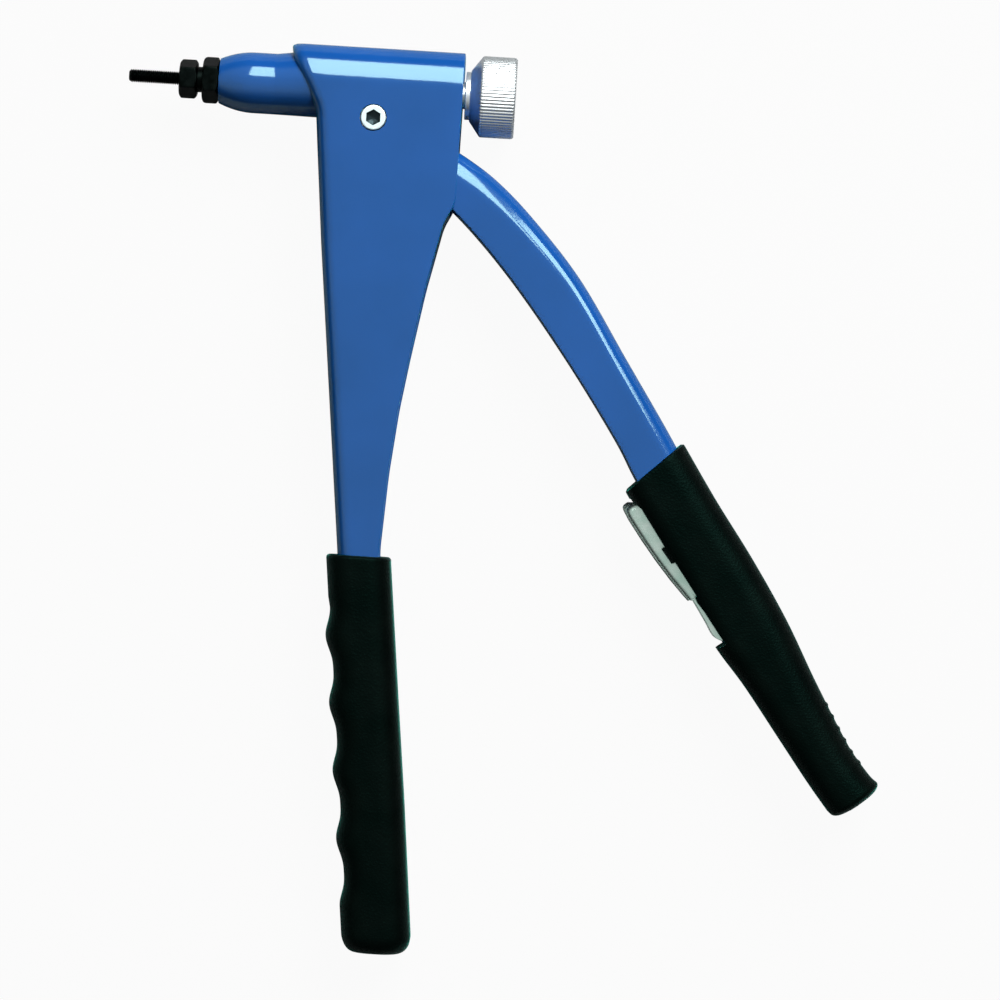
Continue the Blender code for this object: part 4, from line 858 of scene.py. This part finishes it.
def build_knob_screw():
    """Cap screw with a hexagon socket: inside the socket the radius is the hexagon's."""
    line = profile([
        (0.0289, 0.0, 0.0), (0.0289, 0.0022, 0.0003), (0.0455, 0.0022, 0.0),
        (0.0455, 0.00425, 0.0003), (0.0503, 0.00425, 0.0004), (0.0503, 0.0024, 0.0001),
        (0.0480, 0.0023, 0.0), (0.0475, 0.0, 0.0)])
    socket = hexagonal(KNOB_SOCKET, hollow=True, after=0.0470, above=0.0005, below=0.0030)
    return turned("knob_cap_screw", line, 144, socket, close_line=False)


def build_pivot_screw():
    """Round head flush in the near cheek, with a hexagon socket, and its shank across the head."""
    line = profile([
        (-0.0145, 0.0, 0.0), (-0.0145, 0.0030, 0.0003), (0.0105, 0.0030, 0.0), (0.0123, 0.0034, 0.0),
        (0.0123, 0.00465, 0.0001), (0.0149, 0.00465, 0.0005), (0.0149, 0.0031, 0.0002),
        (0.0125, 0.0030, 0.0), (0.0110, 0.0, 0.0)])
    socket = hexagonal(PIVOT_SOCKET, hollow=True, after=0.0124, above=0.0005, below=0.0034)
    return turned("pivot_cap_screw", line, 144, socket, axis="cross", close_line=False)


def build_pivot_nut():
    """Ring nut that mirrors the screw's head on the far cheek: its profile turned about the axis."""
    line = profile([(-0.0123, 0.0033, 0.0002), (-0.0123, 0.00465, 0.0002),
                    (-0.0149, 0.00465, 0.0005), (-0.0149, 0.0033, 0.0003)])
    return turned("pivot_round_nut", line, 96, axis="cross")


def build_spring():
    """Wire coil: a circle of the wire's radius carried along a helix about the spindle, with its
    first and last turns closed up."""
    low, high = (corner[0] - PIVOT[0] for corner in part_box("return_spring"))
    along = np.linspace(0.0, 1.0, 360)
    turn = 2 * math.pi * SPRING_TURNS * along
    station = low + SPRING_WIRE + (high - low - 2 * SPRING_WIRE) * (0.5 * along + 0.5 * eased(along))
    centre = np.stack([station, SPINDLE_Y + SPRING_RADIUS * np.cos(turn),
                       SPRING_RADIUS * np.sin(turn)], axis=1)
    forward = np.gradient(centre, axis=0)
    forward = forward / np.linalg.norm(forward, axis=1)[:, None]
    outward = np.stack([np.zeros_like(turn), np.cos(turn), np.sin(turn)], axis=1)
    sideways = np.cross(forward, outward)
    around = np.linspace(0.0, 2 * math.pi, 12, endpoint=False)[None, :, None]
    wire = np.cos(around) * outward[:, None] + np.sin(around) * sideways[:, None]
    return shell("return_coil", capped(centre[:, None] + SPRING_WIRE * wire))


# Shader nodes

def srgb(code):
    """Linear colour of an sRGB hex value."""
    parts = np.array([int(code[i:i + 2], 16) for i in (1, 3, 5)]) / 255.0
    linear = np.where(parts <= 0.04045, parts / 12.92, ((parts + 0.055) / 1.055) ** 2.4)
    return (*[float(v) for v in linear], 1.0)


WHITE = srgb("#FFFFFF")


def feed(tree, item, values):
    """Set a node's inputs, each to a value or to a link."""
    for name, value in values.items():
        if isinstance(value, bpy.types.NodeSocket):
            tree.links.new(value, item.inputs[name])
        else:
            item.inputs[name].default_value = value


def add(tree, kind, values=None, **settings):
    """A node with its settings, and with values or links for its inputs."""
    item = tree.nodes.new(kind)
    for name, value in settings.items():
        setattr(item, name, value)
    feed(tree, item, values or {})
    return item


def number(tree, operation, a, b):
    """A sum, product or the like of two numbers."""
    return add(tree, "ShaderNodeMath", {0: a, 1: b}, operation=operation).outputs[0]


def vector(tree, operation, *values):
    """A sum, product or the like of vectors, or a vector's length."""
    item = add(tree, "ShaderNodeVectorMath", dict(enumerate(values)), operation=operation)
    return item.outputs["Value" if operation == "LENGTH" else "Vector"]


def spread(tree, factor, low, high, start=0.0, end=1.0):
    """A value that goes from low to high while a factor goes from its start to its end."""
    item = add(tree, "ShaderNodeMapRange", {"Value": factor, "From Min": start, "From Max": end,
                                            "To Min": low, "To Max": high})
    return item.outputs["Result"]


def noise(tree, place, scale, detail):
    """Cloudy noise, with its scale in waves a millimetre."""
    item = add(tree, "ShaderNodeTexNoise", {"Vector": place, "Scale": scale, "Detail": detail})
    return item.outputs["Fac"]


def two_tones(tree, factor, low, high, start=0.30, end=0.70):
    """A blend from one sRGB colour to another while a factor goes from its start to its end."""
    item = add(tree, "ShaderNodeValToRGB", {"Fac": factor})
    for stop, position, code in zip(item.color_ramp.elements, (start, end), (low, high)):
        stop.position = position
        stop.color = srgb(code)
    return item.outputs["Color"]


def bumped(tree, height, strength, distance=0.0001):
    """A normal from a height."""
    item = add(tree, "ShaderNodeBump", {"Height": height, "Strength": strength, "Distance": distance})
    return item.outputs["Normal"]


# Finishes

def material_of(name, finish, *values):
    """A material. A finish gives the inputs of its shader, from its tree, the place of each point
    in millimetres and any values of the finish."""
    material = bpy.data.materials.new(name)
    material.use_nodes = True
    tree = material.node_tree
    place = add(tree, "ShaderNodeTexCoord").outputs["Object"]
    place = vector(tree, "MULTIPLY", place, (1000.0, 1000.0, 1000.0))
    inputs = {"Metallic": 0.0, "IOR": 1.5} | finish(tree, place, *values)
    feed(tree, tree.nodes["Principled BSDF"], inputs)
    return material


def stoved_enamel(tree, place):
    """Gloss enamel, sprayed and stoved: a faint orange peel about 2 mm across under a clear hard
    gloss, and a cool bloom in its highlights and where it turns away."""
    return {
        "Base Color": two_tones(tree, noise(tree, place, 0.03, 3.0), "#10509F", "#1656AA"),
        "Normal": bumped(tree, noise(tree, place, 0.5, 2.0), 0.06, 0.0002),
        "Roughness": 0.10,
        "IOR": 1.68,
        "Specular Tint": srgb("#CDFFF7"),
        "Sheen Weight": 0.45,
        "Sheen Roughness": 0.40,
        "Sheen Tint": srgb("#2CC8BE")}


def moulded_grip(tree, place):
    """Soft black PVC, dip moulded: a fine grain about half a millimetre across, and a cold green
    cast where it turns to the light."""
    grain = noise(tree, place, 1.9, 3.0)
    pores = add(tree, "ShaderNodeTexVoronoi", {"Vector": place, "Scale": 1.2}).outputs["Distance"]
    return {
        "Base Color": two_tones(tree, noise(tree, place, 0.08, 4.0), "#020303", "#060908", 0.35),
        "Normal": bumped(tree, number(tree, "MULTIPLY", grain, pores), 0.55, 0.0003),
        "Roughness": spread(tree, grain, 0.34, 0.50),
        "IOR": 1.42,
        "Specular IOR Level": 0.09,
        "Specular Tint": srgb("#6CD8C0"),
        "Sheen Weight": 1.0,
        "Sheen Roughness": 0.28,
        "Sheen Tint": srgb("#34B49E")}


def black_oxide(tree, place):
    """Steel blackened in a hot salt bath: nearly black, slightly green where it catches light."""
    cloud = noise(tree, place, 0.35, 5.0)
    return {
        "Metallic": 1.0,
        "Base Color": two_tones(tree, cloud, "#060A09", "#0E1413", 0.35),
        "Roughness": spread(tree, cloud, 0.28, 0.42),
        "Normal": bumped(tree, noise(tree, place, 3.0, 3.0), 0.15)}


def turned_steel(tree, place):
    """Bright steel from a lathe: fine rings about a third of a millimetre apart, wider than real
    ones so that they show, round the spindle's sides and on its faces, and soft clouds in its
    polish."""
    axis = (0.0, 1000.0 * (SPINDLE_Y + PIVOT[1]), 1000.0 * PIVOT[2])
    across = vector(tree, "MULTIPLY", vector(tree, "SUBTRACT", place, axis), (0.0, 3.0, 3.0))
    along = vector(tree, "MULTIPLY", place, (3.0, 0.0, 0.0))
    rings = vector(tree, "ADD", along, vector(tree, "LENGTH", across))
    return {
        "Metallic": 0.96,
        "Base Color": srgb("#DDE4E6"),
        "Roughness": spread(tree, noise(tree, place, 0.2, 3.0), 0.34, 0.44),
        "Normal": bumped(tree, noise(tree, rings, 1.0, 2.0), 0.05)}


def plated_screw(tree, place):
    """Cap screw, bright zinc plated: nearly white on its face, with painted shade that turns it dark
    inside its socket."""
    height = add(tree, "ShaderNodeSeparateXYZ", {"Vector": place}).outputs["Z"]
    # Painted shade: one above 29.6 mm in Z, on the face, and nought below 29.2 mm, inside the socket.
    unshaded_face = spread(tree, height, 0.0, 1.0, 29.2, 29.6)
    cloud = noise(tree, place, 1.5, 3.0)
    return {
        "Metallic": 0.7,
        # Painted shade: dark grey-teal inside the socket, near white on the face.
        "Base Color": two_tones(tree, unshaded_face, "#1D2F33", "#E2F8FA", 0.0, 1.0),
        "Roughness": spread(tree, cloud, 0.30, 0.42),
        "Normal": bumped(tree, cloud, 0.08)}


def zinc_plate(tree, place):
    """Pressed steel, zinc plated and passivated: silver with a cool green cast and a fine grain."""
    cloud = noise(tree, place, 0.25, 4.0)
    return {
        "Metallic": 0.85,
        "Base Color": two_tones(tree, cloud, "#C6E8DA", "#E6FBF1", 0.30, 0.75),
        "Roughness": spread(tree, cloud, 0.22, 0.32),
        "Normal": bumped(tree, noise(tree, place, 2.0, 2.0), 0.07)}


def plain_finish(tree, place, low, high, metallic, roughness, scale):
    """Sintered bronze or natural nylon: two close tones in soft patches and a fine surface."""
    cloud = noise(tree, place, scale, 4.0)
    return {"Metallic": metallic, "Roughness": roughness,
            "Base Color": two_tones(tree, cloud, low, high), "Normal": bumped(tree, cloud, 0.1)}


ENAMEL = material_of("stoved_blue_enamel", stoved_enamel)
GRIP = material_of("moulded_black_grip", moulded_grip)
OXIDE = material_of("black_oxide_steel", black_oxide)
STEEL = material_of("turned_bright_steel", turned_steel)
SCREW = material_of("zinc_plated_screw", plated_screw)
ZINC = material_of("zinc_plated_steel", zinc_plate)
BRONZE = material_of("sintered_bronze", plain_finish, "#A87B45", "#C0935A", 1.0, 0.34, 1.5)
NYLON = material_of("natural_nylon", plain_finish, "#D8D4C6", "#E6E2D6", 0.0, 0.45, 0.8)


# Pieces on their bodies

finished(build_housing(), ENAMEL, "frame", "housing")
finished(build_nose(), ENAMEL, "frame", "nose_housing")
finished(build_anvil(), OXIDE, "frame", "anvil")
finished(build_lock_nut(), OXIDE, "frame", "anvil_lock_nut")
finished(build_pivot_screw(), SCREW, "frame", "pivot_screw")
finished(build_pivot_nut(), STEEL, "frame", "pivot_nut")
finished(build_fixed_grip(), GRIP, "frame", "fixed_grip")
finished(build_lever(), ENAMEL, "lever_arm", "lever")
finished(build_lever_grip(), GRIP, "lever_arm", "lever_grip")
finished(build_latch(), ZINC, "latch_arm", "latch")
finished(build_mandrel(), OXIDE, "spindle", "mandrel")
finished(build_knob(), STEEL, "spindle", "knob")
finished(build_knob_screw(), OXIDE, "spindle", "knob_screw")
spring = finished(build_spring(), STEEL, "frame", "return_spring")
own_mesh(spring)

for node, material in {
        "rear_guide_block": ENAMEL, "rear_guide_bush": BRONZE, "pivot_bush": STEEL,
        "pivot_washer_near": NYLON, "pivot_washer_far": NYLON, "latch_pin": STEEL,
        "thrust_collar": STEEL, "thrust_washer": BRONZE, "draw_spindle": STEEL,
        "mandrel_coupling": OXIDE}.items():
    item = frame["nodes"][node]
    item.data.materials.clear()
    item.data.materials.append(material)


# Floor, light and camera

ROLL = math.radians(3.5)
FLOOR_HALF = 14.0
FLOOR_DROP = 0.0004
FLOOR_TONE = 0.20
FLOOR_MIRRORED_TONE = 0.38
FLOOR_GLOW = 0.95
WALL_LIGHT = 0.05
CEILING_LIGHT = 0.62
ROOM_LIGHT = 0.07
LAMP_AIM_HEIGHT = 0.015
VIEW_PLACE = (0.05495, -0.1372)
VIEW_WIDTH = 0.370
VIEW_DISTANCE = 1.6
SENSOR = 36.0


def seen_in_gloss(tree, path):
    """One for rays from polished or clear surfaces, and otherwise nought."""
    return number(tree, "MAXIMUM", path["Is Glossy Ray"], path["Is Transmission Ray"])


def build_floor():
    """A wide sheet under the tool. The camera sees a white glow with a little of the paper's shading
    in it, polished surfaces see grey paper, and it throws still less light on the tool."""
    half = FLOOR_HALF
    mesh = bpy.data.meshes.new("floor")
    mesh.from_pydata([(-half, -half, 0), (half, -half, 0), (half, half, 0), (-half, half, 0)], [],
                     [(0, 1, 2, 3)])
    item = linked("floor", mesh)
    item.location = (0.0, 0.0, -FLOOR_DROP)
    material = bpy.data.materials.new("pale_floor")
    material.use_nodes = True
    tree = material.node_tree
    tree.nodes.clear()
    path = add(tree, "ShaderNodeLightPath").outputs
    seen = number(tree, "MAXIMUM", seen_in_gloss(tree, path), path["Is Camera Ray"])
    tone = spread(tree, seen, FLOOR_TONE, FLOOR_MIRRORED_TONE)
    paper = add(tree, "ShaderNodeBsdfDiffuse", {"Color": tone})
    white = add(tree, "ShaderNodeEmission", {"Color": WHITE, "Strength": 1.0})
    share = number(tree, "MULTIPLY", path["Is Camera Ray"], FLOOR_GLOW)
    mix = add(tree, "ShaderNodeMixShader", {0: share, 1: paper.outputs[0], 2: white.outputs[0]})
    add(tree, "ShaderNodeOutputMaterial", {"Surface": mix.outputs[0]})
    mesh.materials.append(material)


def build_world():
    """A room with dark walls and a pale ceiling that ends before the tool's handles, which polished
    surfaces see. It throws only a dim light of its own, and the camera sees it white."""
    world = bpy.data.worlds.new("studio")
    world.use_nodes = True
    tree = world.node_tree
    path = add(tree, "ShaderNodeLightPath").outputs
    way = add(tree, "ShaderNodeTexCoord").outputs["Generated"]
    parts = add(tree, "ShaderNodeSeparateXYZ", {"Vector": way}).outputs
    height = spread(tree, parts["Z"], WALL_LIGHT, CEILING_LIGHT, 0.38, 0.62)
    depth = spread(tree, parts["Y"], WALL_LIGHT, CEILING_LIGHT, -0.85, -0.45)
    room = number(tree, "MINIMUM", height, depth)
    light = spread(tree, seen_in_gloss(tree, path), ROOM_LIGHT, room)
    strength = spread(tree, path["Is Camera Ray"], light, 1.0)
    feed(tree, tree.nodes["Background"], {"Color": WHITE, "Strength": strength})
    bpy.context.scene.world = world


def build_softbox(name, target, azimuth, tilt, distance, width, height, radiance):
    """A rectangular lamp that faces a point of the tool. Its azimuth is from the picture's top
    towards its right, and its tilt is from the camera's axis. Its power is its radiance times
    pi times its area."""
    lamp = bpy.data.lights.new(name, "AREA")
    lamp.shape = "RECTANGLE"
    lamp.size = height
    lamp.size_y = width
    lamp.energy = radiance * math.pi * width * height
    item = linked(name, lamp)
    turn = math.radians(90.0 - azimuth) + ROLL
    lean = math.radians(tilt)
    way = np.array([math.cos(turn) * math.sin(lean), math.sin(turn) * math.sin(lean), math.cos(lean)])
    item.location = tuple(np.array([*target, LAMP_AIM_HEIGHT]) + distance * way)
    item.rotation_euler = (0.0, lean, turn)
    return item


def build_camera():
    """The photograph's view: from straight above the tool, and turned by its roll."""
    data = bpy.data.cameras.new("camera")
    data.sensor_width = SENSOR
    data.lens = SENSOR * VIEW_DISTANCE / VIEW_WIDTH
    camera = linked("camera", data)
    camera.location = (PIVOT[0] + VIEW_PLACE[0], PIVOT[1] + VIEW_PLACE[1], PIVOT[2] + VIEW_DISTANCE)
    camera.rotation_euler = (0.0, 0.0, ROLL)
    bpy.context.scene.camera = camera


build_floor()
build_world()
key = build_softbox("key_lamp", target=(0.0, 0.0), azimuth=28.0, tilt=52.0, distance=2.0,
                    width=1.2, height=1.2, radiance=12.8)
key.visible_glossy = False
top = build_softbox("top_softbox", target=(-0.03, 0.14), azimuth=13.0, tilt=40.0, distance=1.8,
                    width=1.05, height=1.20, radiance=10.0)
top.visible_diffuse = False
side = build_softbox("side_softbox", target=(0.02, 0.08), azimuth=52.0, tilt=47.0, distance=1.8,
                     width=0.45, height=0.76, radiance=10.0)
side.visible_diffuse = False
build_camera()
bpy.context.scene.view_settings.view_transform = "Standard"
